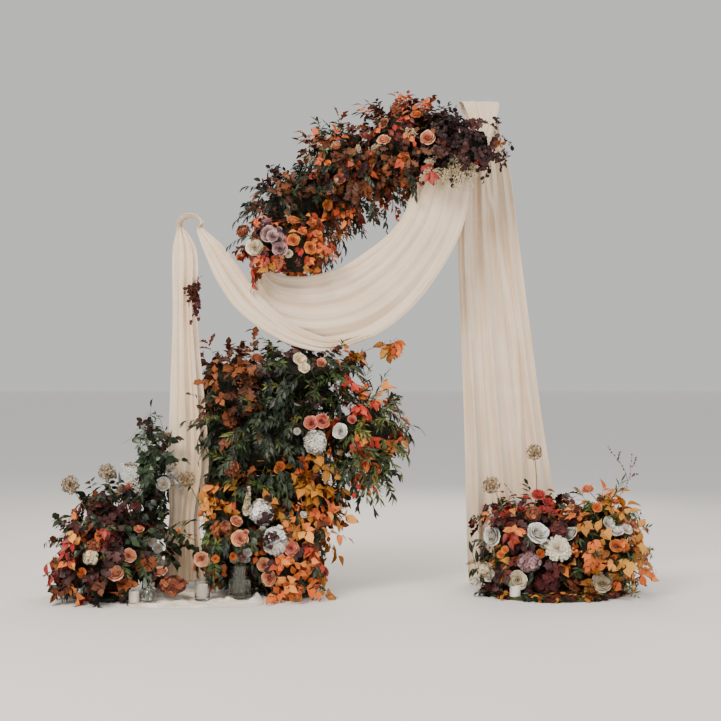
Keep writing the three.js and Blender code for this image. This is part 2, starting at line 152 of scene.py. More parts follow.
def area_light(name, place, target, size, power, colour):
    bpy.ops.object.light_add(type="AREA", location=site(place))
    lamp = bpy.context.object
    lamp.name = name
    lamp.data.size = size
    lamp.data.energy = power
    lamp.data.color = linear(colour)[:3]
    lamp.rotation_euler = Vector(site(target) - site(place)).to_track_quat("-Z", "Y").to_euler()


area_light("key_light", (-3600, -5200, 6200), (0, -100, 1500), 3.2, 620, "fff4e6")
area_light("fill_light", (4800, -4200, 3000), (0, 0, 1500), 4.0, 120, "f6f5fb")
area_light("back_light", (1500, 5200, 5200), (0, 0, 1800), 3.5, 260, "fff1e0")

world = bpy.context.scene.world or bpy.data.worlds.new("studio")
bpy.context.scene.world = world
world.use_nodes = True
node(world.node_tree, world.node_tree.nodes["Background"], Color=linear("e9e8e6"), Strength=0.82)

bpy.ops.mesh.primitive_plane_add(size=900, location=site((0, 0, -1.0)))
floor = bpy.context.object
floor.name = "studio_floor"
# A matt, faintly mottled white floor
matt_floor, tree, shader = surface("matt floor paint", Roughness=0.9)
grain = node(tree, "ShaderNodeTexNoise", Scale=3.0, Detail=4.0)
node(tree, shader, Base_Color=ramp(tree, grain, [(0.3, "f1efeb"), (0.7, "f6f4f1")]))
floor.data.materials.append(matt_floor)
floor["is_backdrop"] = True

# Making and handing over pieces


def deselect():
    bpy.ops.object.select_all(action="DESELECT")


def blank():
    """An empty mesh object, selected alone."""
    deselect()
    bpy.ops.object.add(type="MESH")
    return bpy.context.object


def finished(piece, nodes, mats):
    """Gives a piece its materials and ties it to the model."""
    piece.data.materials.clear()
    for mat in mats:
        piece.data.materials.append(mat)
    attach(piece, "root")
    if nodes:
        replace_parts(piece, *nodes)
    return piece


def settled(piece, name):
    piece.name = name
    piece.data.name = name
    piece.select_set(False)
    return piece


def apply_all(piece):
    deselect()
    bpy.context.view_layer.objects.active = piece
    piece.select_set(True)
    for modifier in list(piece.modifiers):
        bpy.ops.object.modifier_apply(modifier=modifier.name)
    bpy.ops.object.transform_apply(location=True, rotation=True, scale=True)


def curve(points, steps):
    """Catmull-Rom through points: steps are in point numbers."""
    pts = np.asarray(points, float)
    i = np.clip(np.floor(steps).astype(int), 0, len(pts) - 2)
    f = (np.asarray(steps) - i)[:, None]
    a, b, c, d = (pts[np.clip(i + k, 0, len(pts) - 1)] for k in (-1, 0, 1, 2))
    return 0.5 * (2 * b + (c - a) * f + (2 * a - 5 * b + 4 * c - d) * f**2 + (3 * b - a - 3 * c + d) * f**3)


def steps_by_length(points, count):
    """Point numbers that are evenly spaced along a curve."""
    fine = np.linspace(0, len(points) - 1, 40 * len(points))
    run = np.concatenate(([0], np.cumsum(np.linalg.norm(np.diff(curve(points, fine), axis=0), axis=1))))
    return np.interp(np.linspace(0, run[-1], count), run, fine)


def unit(v):
    return v / np.maximum(np.linalg.norm(v, axis=-1, keepdims=True), 1e-9)


def noise_at(points):
    """Smooth noise from -1 to 1 at each of an array of points."""
    points = np.asarray(points)
    return np.array([noise.noise(Vector(p)) for p in points.reshape(-1, 3)]).reshape(points.shape[:-1])


def cloth(name, grid):
    """A sheet from rows of points in millimetres: a grid primitive bent to them, with a UV map in metres."""
    rows, columns = grid.shape[:2]
    bpy.ops.mesh.primitive_grid_add(x_subdivisions=columns - 1, y_subdivisions=rows - 1, size=2,
                                    calc_uvs=True)
    piece = bpy.context.object
    mesh = piece.data
    flat = np.empty(len(mesh.vertices) * 3)
    mesh.vertices.foreach_get("co", flat)
    flat = flat.reshape(-1, 3)
    across = np.rint((flat[:, 0] + 1) / 2 * (columns - 1)).astype(int)
    along = np.rint((flat[:, 1] + 1) / 2 * (rows - 1)).astype(int)
    mesh.vertices.foreach_set("co", site(grid[along, across]).ravel())
    width = np.linalg.norm(np.diff(grid, axis=1), axis=2).sum(axis=1).mean() / 1000
    length = np.linalg.norm(np.diff(grid, axis=0), axis=2).sum(axis=0).mean() / 1000
    for layer in mesh.uv_layers:
        uv = np.empty(len(mesh.loops) * 2)
        layer.data.foreach_get("uv", uv)
        layer.data.foreach_set("uv", (uv.reshape(-1, 2) * (width, length)).ravel())
    mesh.update()
    solid = piece.modifiers.new("thickness", "SOLIDIFY")
    solid.thickness = VOILE_THICK
    solid.offset = 0
    apply_all(piece)
    bpy.ops.object.shade_smooth()
    return settled(piece, name)


def pleats(u, s, waves, seed):
    """Irregular pleats across u, narrow ridges and broad hollows, that wander slowly along the run s.
    waves are (count, depth) pairs."""
    total = np.zeros(np.broadcast(u, s).shape)
    for k, (count, depth) in enumerate(waves):
        a, b, c = seed + 1.7 * k, 0.9 * seed + k, 2.3 * seed + 0.5 * k
        wander = 0.10 * np.sin(1.1 * s + a) + 0.06 * np.sin(2.7 * s + b)
        wander = wander + 0.05 * np.sin(5.1 * u + 0.6 * s + c)
        phase = 2 * np.pi * (count * (u + 0.035 * np.sin(6.3 * u + c)) + wander + 0.37 * a)
        swell = 1 + 0.35 * np.sin(0.9 * s + 3.1 * u + b)
        total = total + depth * swell * (1.1 - 2.2 * np.sqrt(np.sin(phase / 2) ** 2 + 0.04))
    return total


def run_of_cloth(stations, rows, columns, waves, seed):
    """A sheet between two edges, and the length down to each row in metres. A station is a point on each
    edge, its share of the broad pleats, which are the first two waves, and of the fine ones, how far it
    bellies out, and a share across and a height: past that share the cloth rolls forward over the rest by
    that height."""
    a_points, b_points, *shares = zip(*stations)
    steps = steps_by_length((np.array(a_points, float) + np.array(b_points, float)) / 2, rows)
    a, b = curve(a_points, steps), curve(b_points, steps)
    broad, fine, belly, share, high = (np.interp(steps, np.arange(len(stations)), s)[:, None] for s in shares)
    middle = (a + b) / 2
    face = unit(np.cross(b - a, np.gradient(middle, axis=0)))
    length = np.concatenate(([0], np.cumsum(np.linalg.norm(np.diff(middle, axis=0), axis=1)))) / 1000
    u, run = np.linspace(0, 1, columns)[None], length[:, None]
    fold = pleats(u, run, waves[:2], seed) * broad + pleats(u, run, waves[2:], seed + 3) * fine
    grid = a[:, None] + (b - a)[:, None] * u[..., None] + face[:, None] * fold[..., None]
    grid[..., 1] -= belly * np.sin(np.pi * 0.62 * u)
    before, after = np.clip(u / share, 0, 1), np.clip((u - share) / (1 - share), 0, 1)
    step = np.clip((u - share) / 0.06, 0, 1)
    roll = step**2 * (3 - 2 * step) + 0.6 * np.sin(np.pi * before) + 0.5 * np.sin(np.pi * after)
    grid[..., 1] -= high * roll
    return grid, length


# The voile

VOILE_THICK = 0.0016  # metres, thicker than the real cloth so that its edges show
FLAT_LAP = (0.5, 0)


def voile_surface(name, tones):
    """Plain woven voile: matt and slightly see-through, with whiter and greyer bands along it that are painted
    light and shade, as where its folds lie double.
    """
    made, tree, shader = surface(name, Roughness=0.82, Sheen_Weight=0.35, Sheen_Roughness=0.5,
                                 Subsurface_Weight=0.12, Subsurface_Radius=(0.03, 0.02, 0.012))
    coords = node(tree, "ShaderNodeTexCoord").outputs
    slub = node(tree, "ShaderNodeTexNoise", Vector=coords["Object"], Scale=3.2, Detail=3.0)
    split = node(tree, "ShaderNodeSeparateXYZ", Vector=coords["UV"]).outputs
    drawn = node(tree, "ShaderNodeMath", {"operation": "MULTIPLY"}, _0=split["Y"], _1=0.035)
    lengthwise = node(tree, "ShaderNodeCombineXYZ", X=split["X"], Y=drawn)
    # Painted light and shade: whiter bands 10 to 40 mm wide that run the length of the cloth, as where folds lie
    # double; creases in them are a few mm apart
    painted_fold_light = node(tree, "ShaderNodeTexNoise", Vector=lengthwise, Scale=34.0, Detail=2.0, Roughness=0.6)
    crease = node(tree, "ShaderNodeTexNoise", Vector=lengthwise, Scale=150.0, Detail=3.0)
    mixed = node(tree, "ShaderNodeMix", {"data_type": "RGBA", "blend_type": "MULTIPLY"}, _0=1.0,
                 _6=ramp(tree, slub, tones),
                 _7=ramp(tree, painted_fold_light, [(0.36, "f4ede4"), (0.46, "faf6f1"), (0.52, "ffffff"),
                                         (0.64, "fbf7f2")]))
    # Threads stand 0.4 mm apart, too fine to show, so the weave is drawn at 1.6 mm
    weft, warp = (node(tree, "ShaderNodeTexWave", {"wave_type": "BANDS", "bands_direction": direction},
                       Vector=coords["UV"], Scale=1 / 0.0016 / 20, Distortion=0.6, Detail=1.0).outputs["Fac"]
                  for direction in ("X", "Y"))
    weave = node(tree, "ShaderNodeMath", {"operation": "ADD"}, _0=weft, _1=warp)
    lines = node(tree, "ShaderNodeBump", Strength=0.45, Distance=0.004, Height=crease)
    bump = node(tree, "ShaderNodeBump", Strength=0.12, Distance=0.0006, Height=weave, Normal=lines)
    node(tree, shader, Base_Color=mixed.outputs[2], Normal=bump)
    return made


# The falls and the swag are warm ivory, and the tail on the ground is whiter
voile = voile_surface("ivory voile, plain woven", [(0.3, "eedabf"), (0.55, "f3e2cb"), (0.75, "ecd6ba")])
white_voile = voile_surface("white voile, plain woven", [(0.3, "f4ebdc"), (0.55, "fbf6ec"), (0.75, "eee3d1")])

# The right fall, from the ground up: height, left and right edge, and the shares of broad and fine pleats
LEG_Y, LIMB_Y, LIMB_Z, LOOP_R = 165, 60, 3326, 101
stations = [((left, LEG_Y, z + 4), (right, LEG_Y, z + 4), broad, fine, 0, *FLAT_LAP)
            for z, left, right, broad, fine in (
    (0, 780, 1490, 2.7, 0.45), (60, 772, 1478, 2.7, 0.45), (300, 764, 1436, 2.6, 0.45),
    (700, 756, 1378, 2.5, 0.45), (1200, 744, 1300, 2.3, 0.5), (1800, 724, 1222, 2.0, 0.6),
    (2400, 703, 1146, 1.7, 0.7), (2900, 725, 1086, 1.3, 0.75), (3150, 762, 1028, 0.8, 0.65),
    (3300, 786, 990, 0.4, 0.5))]
# Over its seat, and down before it
for turn in np.radians((30, 60, 90, 120, 150)):
    y, z = LIMB_Y + LOOP_R * math.cos(turn), LIMB_Z + LOOP_R * math.sin(turn)
    stations.append(((700 + 38 * abs(math.cos(turn)), y, z), (978, y, z), 0.22, 0.42, 0, *FLAT_LAP))
stations += [((left, y, z), (right, y, z), 0.42, 0.5, 0, *FLAT_LAP) for y, z, left, right in (
    (-46, 3240, 772, 942), (-62, 3110, 706, 900), (-85, 2950, 560, 824))]
# The swag: its upper and its lower edge, and how far it hangs forward
stations += [((top[0], y, top[1]), (low[0], y, low[1]), broad, fine, belly, *FLAT_LAP)
             for top, low, y, broad, fine, belly in (
    ((396, 2830), (772, 2802), -110, 0.55, 0.35, 4), ((302, 2604), (700, 2480), -118, 0.7, 0.25, 26),
    ((190, 2458), (520, 2150), -124, 0.9, 0.2, 46), ((42, 2338), (300, 1890), -128, 1.15, 0.2, 62),
    ((-125, 2235), (40, 1720), -128, 1.4, 0.25, 70), ((-317, 2176), (-250, 1665), -124, 1.6, 0.3, 64),
    ((-490, 2166), (-490, 1710), -120, 1.6, 0.35, 46), ((-620, 2204), (-640, 1810), -112, 1.2, 0.3, 22),
    ((-705, 2300), (-785, 2110), -105, 0.6, 0.3, 0))]
WAVES = [(2.6, 7.5), (5.7, 7.0), (9.5, 5.5), (14, 3.2), (23, 1.2)]
grid, length = run_of_cloth(stations, 236, 141, WAVES, 2.1)
# Single long folds stand out of the fall: where each runs in the picture, its height and half its width there
seen = pixel(grid.reshape(-1, 3)).reshape(*grid.shape[:2], 2)
on_fall = np.clip((3.1 - length) / 0.3, 0, 1)[:, None]
LONG_FOLDS = (
    ([(486, 170), (488, 190), (501, 250), (515, 330), (520, 420), (524, 596)], 24, 2.3),
    ([(500, 165), (513, 260), (531, 400), (547, 596)], 13, 2.6),
    ([(468, 240), (473, 350), (479, 596)], 12, 2.4), ([(481, 215), (493, 330), (501, 596)], 8, 3.4))
for run, high, wide in LONG_FOLDS:
    off = (seen[..., 0] - np.interp(seen[..., 1], *np.array(run)[:, ::-1].T)) / wide
    grid[..., 1] -= on_fall * high * (np.exp(-off**2) - 0.6 * np.exp(-(off - 2.1) ** 2))
main_voile = cloth("main_voile", grid)
finished(main_voile, ["right_leg_drape", "right_limb_loop", "swag_main_drape"], [voile])

# The front fold of the swag: its edges, its place forward, pleats, belly, and where and how far it rolls over
# itself
BRANCH_X, BRANCH_Y, BRANCH_Z, BUNCH_R, BUNCH_HALF = -1172, -190, 2492, 82, 58
stations = [((top[0], y, top[1]), (low[0], y, low[1]), *rest) for top, low, y, *rest in (
    ((120, 1800), (90, 1752), -176, 0.35, 0.3, 6, 0.33, 10),
    ((-143, 1730), (-212, 1646), -206, 0.5, 0.35, 12, 0.35, 20),
    ((-351, 1775), (-421, 1666), -220, 0.6, 0.35, 16, 0.40, 28),
    ((-525, 1877), (-630, 1757), -228, 0.65, 0.35, 18, 0.46, 34),
    ((-685, 2023), (-838, 1919), -230, 0.65, 0.35, 18, 0.5, 34),
    ((-817, 2197), (-963, 2093), -228, 0.6, 0.35, 14, 0.5, 28),
    ((-943, 2364), (-1047, 2266), -224, 0.45, 0.4, 8, 0.5, 16),
    ((-1080, 2488), (-1122, 2470), -212, 0.3, 0.4, 2, 0.5, 6))]
# The gather over the second seat
for turn in np.radians((25, 60, 90, 120, 155)):
    x, z = BRANCH_X + BUNCH_R * math.cos(turn), BRANCH_Z + BUNCH_R * math.sin(turn)
    stations.append(((x, BRANCH_Y + BUNCH_HALF, z), (x, BRANCH_Y - BUNCH_HALF, z), 0.7, 0.5, 0, *FLAT_LAP))
# The left fall: height, right and left edge, and the share of broad pleats
stations += [((right, -205, z), (left, -205, z), broad, 0.7, 0, *FLAT_LAP) for z, right, left, broad in (
    (2470, -1200, -1270, 0.55), (2300, -1124, -1298, 0.8), (1860, -1123, -1295, 1.3),
    (1300, -1072, -1312, 1.6),
    (860, -1042, -1322, 1.7), (520, -1100, -1312, 1.8), (280, -1085, -1340, 2.2), (60, -1066, -1354, 2.5))]
grid, length = run_of_cloth(stations, 210, 97, [(2.0, 8.0), (4.6, 8.0), (8, 4.0), (14, 1.3)], 4.4)
left_voile = cloth("left_voile", grid)
finished(left_voile, ["swag_front_fold", "left_branch_loop", "left_leg_drape"], [voile])

# Small growing things: patterns that are tiled along twigs and over heads


SHARP = math.radians(50)  # a sharper edge than this stays crisp


class Heap:
    """Many small shapes that become one mesh, with a UV map and a tone from 0 to 1 at each point."""

    def __init__(self):
        self.points, self.faces, self.uv, self.tone, self.mats, self.total = [], [], [], [], [], 0

    def take(self, points, faces, uv, tone, finish):
        """Adds copies of a shape. points is (copies, points of one, 3)."""
        copies, each = points.shape[:2]
        if not copies:
            return
        starts = self.total + each * np.arange(copies)
        self.points.append(points.reshape(-1, 3))
        self.faces.append((faces[None] + starts[:, None, None]).reshape(-1, 3))
        self.uv.append(np.tile(uv, (copies, 1)))
        self.tone.append(np.clip(np.broadcast_to(tone, (copies, each)), 0, 1).ravel())
        self.mats.append(np.full(copies * len(faces), FINISH_INDEX.get(finish, 0)))
        self.total += copies * each

    def made(self, name, slot, nodes=(), mats=None):
        """The mesh. Without materials of its own it has every finish."""
        piece = blank()
        mesh = piece.data
        points = np.concatenate(self.points)
        points[:, 2] = np.maximum(points[:, 2], 1.0)
        faces = np.concatenate(self.faces)
        mesh.from_pydata(site(points).tolist(), [], faces.tolist())
        corner = mesh.uv_layers.new(name="UVMap")
        corner.data.foreach_set("uv", np.concatenate(self.uv)[faces.ravel()].ravel())
        mesh.attributes.new("tone", "FLOAT", "POINT").data.foreach_set("value", np.concatenate(self.tone))
        mesh.update()
        finished(settled(piece, name), nodes, mats or FINISHES.values())
        mesh.polygons.foreach_set("material_index", np.concatenate(self.mats))
        mesh.polygons.foreach_set("use_smooth", np.ones(len(faces), bool))
        mesh.set_sharp_from_angle(angle=SHARP)
        return piece


def patch(grid, thickness):
    """A thin closed leaf or petal from a grid of points: an upper and a lower side that share their rim."""
    rows, columns = grid.shape[:2]
    upper = np.arange(rows * columns).reshape(rows, columns)
    lower = upper.copy()
    inner = (rows - 2) * (columns - 2)
    lower[1:-1, 1:-1] = rows * columns + np.arange(inner).reshape(rows - 2, columns - 2)
    normal = unit(np.cross(np.gradient(grid, axis=1), np.gradient(grid, axis=0)))
    below = (grid - normal * thickness)[1:-1, 1:-1].reshape(-1, 3)
    faces = []
    for side, order in ((upper, (0, 1, 2, 3)), (lower, (0, 3, 2, 1))):
        corners = np.stack([side[:-1, :-1], side[:-1, 1:], side[1:, 1:], side[1:, :-1]], -1)
        corners = corners.reshape(-1, 4)[:, order]
        faces += [corners[:, [0, 1, 2]], corners[:, [0, 2, 3]]]
    u, v = np.meshgrid(np.linspace(0, 1, columns), np.linspace(0, 1, rows))
    uv = np.stack([u, v], -1).reshape(-1, 2)
    uv = np.concatenate([uv, uv.reshape(rows, columns, 2)[1:-1, 1:-1].reshape(-1, 2)])
    return np.concatenate([grid.reshape(-1, 3), below]), np.concatenate(faces), uv


def leaf(length, width, shares, fold, droop, ahead=None):
    """A leaf pattern from half-width shares along it, folded along its midrib and drooping to its tip.
    ahead moves the edge points forward, for lobes that point to the tip."""
    shares = np.array([0.05, *shares, 0.03])
    v = np.linspace(0, 1, len(shares))
    half = width / 2 * shares
    grid = np.zeros((len(shares), 3, 3))
    for column, side in enumerate((-1, 0, 1)):
        grid[:, column, 0] = side * half
        grid[:, column, 1] = length * v
        grid[:, column, 2] = abs(side) * fold * half - droop * length * v**2
        if ahead is not None and side:
            grid[1:-1, column, 1] += length * np.array(ahead)
    points, faces, uv = patch(grid, 0.9)
    return points, faces, uv, np.zeros(len(points))


def joined(parts):
    """One pattern from several (points, faces, uv, tone) patterns."""
    points, faces, uv, tone, count = [], [], [], [], 0
    for p, f, m, t in parts:
        points.append(p)
        faces.append(f + count)
        uv.append(m)
        tone.append(np.broadcast_to(t, len(p)))
        count += len(p)
    return np.concatenate(points), np.concatenate(faces), np.concatenate(uv), np.concatenate(tone)


def petal(rows, columns, place, thickness=0.02):
    u, v = np.meshgrid(np.linspace(-1, 1, columns), np.linspace(0, 1, rows))
    return patch(np.stack(np.broadcast_arrays(*place(u, v)), -1).astype(float), thickness)


def rose_pattern(*rings):
    """A rose of unit radius that faces +Z. Rings are (rim radius, rim height, petals), from the heart out."""
    parts = []
    for j, (rim, high, petals) in enumerate(rings):
        for k in range(petals):
            start = 2 * math.pi * (k + 0.41 * j) / petals + rng.normal(0, 0.09)
            wide = 1.30 * math.pi / petals * rng.uniform(0.92, 1.08) + 0.1
            rim_k, high_k = rim * rng.uniform(0.93, 1.05), high + rng.normal(0, 0.04)
            curl = 0.03 + 0.13 * j / (len(rings) - 1)

            def place(u, v):
                turn = start + u * wide * (0.55 + 0.45 * np.sin(np.pi * (0.10 + 0.60 * v)))
                rise, lip = v * np.pi / 2, np.maximum(v - 0.72, 0) / 0.28
                radial = rim_k * (0.16 + 0.84 * np.sin(rise) ** 0.85) * (1 + 0.06 * u)
                radial = radial + curl * lip**1.5 * (1 - 0.4 * u**2) + 0.05 * rim_k * v * (1 - np.abs(u))
                height = -0.55 + (high_k + 0.55) * (1 - np.cos(rise)) ** 0.8
                height = height - (0.75 * curl + 0.07 * np.sin(4 * u + k)) * lip**2 - 0.20 * u**4 * v
                return radial * np.cos(turn), radial * np.sin(turn), height

            points, faces, uv = petal(6, 5, place)
            parts.append((points, faces, uv, 0.06 * j - 0.52 + 0.78 * np.clip(2 * uv[:, 1] - 1, 0, 1) ** 1.4))
    return joined(parts)


def floret_pattern(petals, cup=0.22, wide=0.62, rows=3):
    """A small flat flower of unit radius that faces +Z."""
    parts = []
    for k in range(petals):
        turn = 2 * math.pi * k / petals
        out = np.array((math.cos(turn), math.sin(turn)))
        side = np.array((-math.sin(turn), math.cos(turn)))

        def place(u, v):
            across = u * wide * np.sin(np.pi * np.minimum(0.1 + 0.8 * v, 0.75) * 0.9)
            along = 0.08 + 0.92 * v * (1 - 0.12 * u**2)
            return (out[0] * along + side[0] * across, out[1] * along + side[1] * across,
                    cup * (v**2 + 0.5 * u**2 * v) - 0.1)

        points, faces, uv = petal(rows, rows, place, 0.05)
        parts.append((points, faces, uv, 0.25 * (uv[:, 1] - 0.5)))
    return joined(parts)


def cup_pattern():
    """An open flower of unit radius: five broad petals round a smaller cup of four."""
    parts = []
    for share, lift, tone, (points, faces, uv, depth) in (
            (1.0, -0.06, 0.1, floret_pattern(5, 0.42, 0.60, 4)),
            (0.62, 0.02, -0.2, floret_pattern(4, 0.95, 0.66))):
        parts.append((points * share + (0, 0, lift), faces, uv, depth * 1.6 + tone))
    return joined(parts)


def even_directions(count):
    """Directions spread evenly over a ball."""
    k = np.arange(count) + 0.5
    z = 1 - 2 * k / count
    turn = math.pi * (1 + 5**0.5) * k
    ring = np.sqrt(1 - z**2)
    return np.stack([ring * np.cos(turn), ring * np.sin(turn), z], -1)


def frames(facing, spin):
    """Across and along directions at right angles to where a thing faces, turned by spin."""
    helper = np.where(np.abs(facing[:, 2:3]) > 0.9, (1.0, 0.0, 0.0), (0.0, 0.0, 1.0))
    a = unit(np.cross(helper, facing))
    b = np.cross(facing, a)
    c, s = np.cos(spin)[:, None], np.sin(spin)[:, None]
    return a * c + b * s, b * c - a * s


def tile(heap, pattern, at, across, along, up, size, tone, finish, flex=None):
    """Copies of a pattern. flex is how much each copy's folds are deepened."""
    points, faces, uv, depth = pattern
    size = np.broadcast_to(size, len(at))[:, None, None]
    flex = np.ones(len(at)) if flex is None else flex
    spread = (points[None, :, 0:1] * across[:, None] + points[None, :, 1:2] * along[:, None]
              + points[None, :, 2:3] * flex[:, None, None] * up[:, None])
    tone = np.broadcast_to(tone, len(at))[:, None] + depth[None]
    heap.take(at[:, None] + size * spread, faces, uv, tone, finish)


def tubes(heap, paths, radius, tone, finish=None, sides=3):
    """Thin closed tubes along paths of shape (tubes, points, 3)."""
    count, length = paths.shape[:2]
    run = unit(np.gradient(paths, axis=1))
    mean = unit(paths[:, -1] - paths[:, 0])
    helper = np.where(np.abs(mean[:, 2:3]) > 0.8, (1.0, 0.0, 0.0), (0.0, 0.0, 1.0))[:, None]
    side = unit(np.cross(helper, run))
    up = np.cross(run, side)
    radius = np.broadcast_to(radius, (count, length))[..., None, None]
    turn = 2 * np.pi * np.arange(sides) / sides
    ring = radius * (np.cos(turn)[:, None] * side[:, :, None] + np.sin(turn)[:, None] * up[:, :, None])
    faces = []
    for i in range(length - 1):
        for s in range(sides):
            a, b = i * sides + s, i * sides + (s + 1) % sides
            faces += [(a, b, b + sides), (a, b + sides, a + sides)]
    end = (length - 1) * sides
    faces += [(0, s + 1, s) for s in range(1, sides - 1)]
    faces += [(end, end + s, end + s + 1) for s in range(1, sides - 1)]
    around, onward = np.arange(sides) / sides, np.linspace(0, 1, length)
    uv = np.stack([np.tile(around, length), np.repeat(onward, sides)], -1)
    heap.take((paths[:, :, None] + ring).reshape(count, -1, 3), np.array(faces), uv, tone, finish)


# Leaf, petal and stem materials


def toned(name, **inputs):
    """A surface with the tone of each point, and its coordinates."""
    made, tree, shader = surface(name, **inputs)
    tone = node(tree, "ShaderNodeAttribute", {"attribute_name": "tone"}).outputs["Fac"]
    return made, tree, shader, tone, node(tree, "ShaderNodeTexCoord").outputs


def leaf_surface(name, dark, middle, light, rough, veins, rib, back=0.0):
    """A leaf whose tone runs from dark to light, with a paler midrib, side veins and fine mottling."""
    made, tree, shader, tone, coords = toned(name, Roughness=rough, Subsurface_Weight=back,
                                             Subsurface_Radius=(0.006, 0.004, 0.002))
    split = node(tree, "ShaderNodeSeparateXYZ", Vector=coords["UV"]).outputs
    from_rib = node(tree, "ShaderNodeMath", {"operation": "PINGPONG"}, _0=split["X"], _1=0.5)
    spots = node(tree, "ShaderNodeTexNoise", Vector=coords["Object"], Scale=90.0, Detail=3.0)
    patchy = node(tree, "ShaderNodeMath", {"operation": "MULTIPLY_ADD"}, _0=spots, _1=0.7, _2=-0.35)
    total = node(tree, "ShaderNodeMath", {"operation": "ADD", "use_clamp": True}, _0=tone, _1=patchy)
    slant = node(tree, "ShaderNodeMath", {"operation": "MULTIPLY_ADD"}, _0=from_rib, _1=0.9, _2=split["Y"])
    wave = node(tree, "ShaderNodeMath", {"operation": "PINGPONG"}, _0=slant, _1=0.5 / veins)
    side_vein = node(tree, "ShaderNodeMapRange", Value=wave, From_Max=0.02, To_Min=0.45, To_Max=0.0)
    midrib = node(tree, "ShaderNodeMapRange", Value=from_rib, From_Min=0.44, From_Max=0.5)
    vein = node(tree, "ShaderNodeMath", {"operation": "MAXIMUM"}, _0=side_vein, _1=midrib)
    shade = node(tree, "ShaderNodeMath", {"operation": "MULTIPLY"}, _0=vein, _1=0.5)
    blade = ramp(tree, total, [(0.05, dark), (0.5, middle), (0.95, light)])
    coloured = node(tree, "ShaderNodeMix", {"data_type": "RGBA"}, _0=shade, _6=blade, _7=linear(rib))
    bump = node(tree, "ShaderNodeBump", Strength=0.35, Distance=0.0008, Height=vein)
    node(tree, shader, Base_Color=coloured.outputs[2], Normal=bump)
    return made


def petal_surface(name, heart, middle, rim, rough=0.6):
    """Soft petals whose tone runs from the bloom's heart to its outer rim, with faint veins along them."""
    made, tree, shader, tone, coords = toned(name, Roughness=rough, Subsurface_Weight=0.15, Sheen_Weight=0.2,
                                             Subsurface_Radius=(0.012, 0.006, 0.004))
    across = node(tree, "ShaderNodeSeparateXYZ", Vector=coords["UV"])
    along = node(tree, "ShaderNodeCombineXYZ", X=across)
    streak = node(tree, "ShaderNodeTexNoise", Vector=along, Scale=26.0, Detail=2.0)
    mottled = node(tree, "ShaderNodeTexNoise", Vector=coords["Object"], Scale=160.0, Detail=2.0)
    both = node(tree, "ShaderNodeMath", {"operation": "ADD"}, _0=streak, _1=mottled)
    shift = node(tree, "ShaderNodeMath", {"operation": "MULTIPLY_ADD"}, _0=both, _1=0.28, _2=-0.28)
    total = node(tree, "ShaderNodeMath", {"operation": "ADD", "use_clamp": True}, _0=tone, _1=shift)
    bump = node(tree, "ShaderNodeBump", Strength=0.2, Distance=0.0006, Height=streak)
    node(tree, shader, Base_Color=ramp(tree, total, [(0.1, heart), (0.5, middle), (0.9, rim)]), Normal=bump)
    return made


def stem_surface(name, dark, light, rough=0.7):
    made, tree, shader, tone, coords = toned(name, Roughness=rough)
    bark = node(tree, "ShaderNodeTexNoise", Vector=coords["Object"], Scale=220.0, Detail=3.0)
    total = node(tree, "ShaderNodeMath", {"operation": "MULTIPLY_ADD"}, _0=bark, _1=0.5, _2=tone)
    bump = node(tree, "ShaderNodeBump", Strength=0.3, Distance=0.0006, Height=bark)
    node(tree, shader, Base_Color=ramp(tree, total, [(0.3, dark), (1.0, light)]), Normal=bump)
    return made


LEAF_MATS = {
    # Waxy evergreen leaves: a satin gloss and a dark, slightly blue green
    "ruscus": leaf_surface("ruscus leaf, waxy", "0e160d", "1e2d1a", "3b4c2c", 0.45, 3.0, "46583a"),
    "salal": leaf_surface("salal leaf, glossy", "0b140c", "1a2c19", "34482a", 0.34, 5.0, "4a5c38"),
    # Dried copper beech: matt, with a clear herringbone of side veins
    "beech": leaf_surface("beech leaf, dried copper", "3a1708", "6f300e", "9c4f18", 0.62, 8.0, "ab6426"),
    # Smoke bush: round matt leaves, almost black at the heart, with a red bloom
    "cotinus": leaf_surface("smoke bush leaf, matt burgundy",
                            "160507", "2d0a0c", "521717", 0.58, 7.0, "6a2a24"),
    "maple": leaf_surface("maple leaf, burgundy", "1f0608", "3e0d0c", "701a12", 0.55, 5.0, "823424"),
    # Turning cherry leaves: thin, so light comes through them
    "amber": leaf_surface("cherry leaf, turning amber",
                          "8a4a0c", "bd751c", "e2a544", 0.6, 8.0, "e8bb68", 0.2),
    "orange": leaf_surface("cherry leaf, turning orange",
                           "7c2c06", "b84f0e", "df7f22", 0.58, 8.0, "e69a3e", 0.2),
    "oak": leaf_surface("oak leaf, dried", "421c08", "7c3d10", "aa6724", 0.66, 6.0, "ba7c3a"),
    # Creeper leaves in full autumn red
    "creeper": leaf_surface("creeper leaf, autumn red",
                            "5f0f08", "a31c0e", "d13d20", 0.5, 6.0, "d8603c", 0.15),
    # Thin matt leaves: olive, dusted grey green, and fresh green
    "willow": leaf_surface("willow leaf, olive", "2b3415", "545d20", "868738", 0.5, 5.0, "98994e"),
    "eucalyptus": leaf_surface("eucalyptus leaf, dusted grey green",
                               "33423a", "5a6c5c", "8a988a", 0.66, 4.0, "98a495"),
    "fern": leaf_surface("fern leaf, fresh green", "1a280e", "34491a", "5d7328", 0.55, 4.0, "71853e"),
}
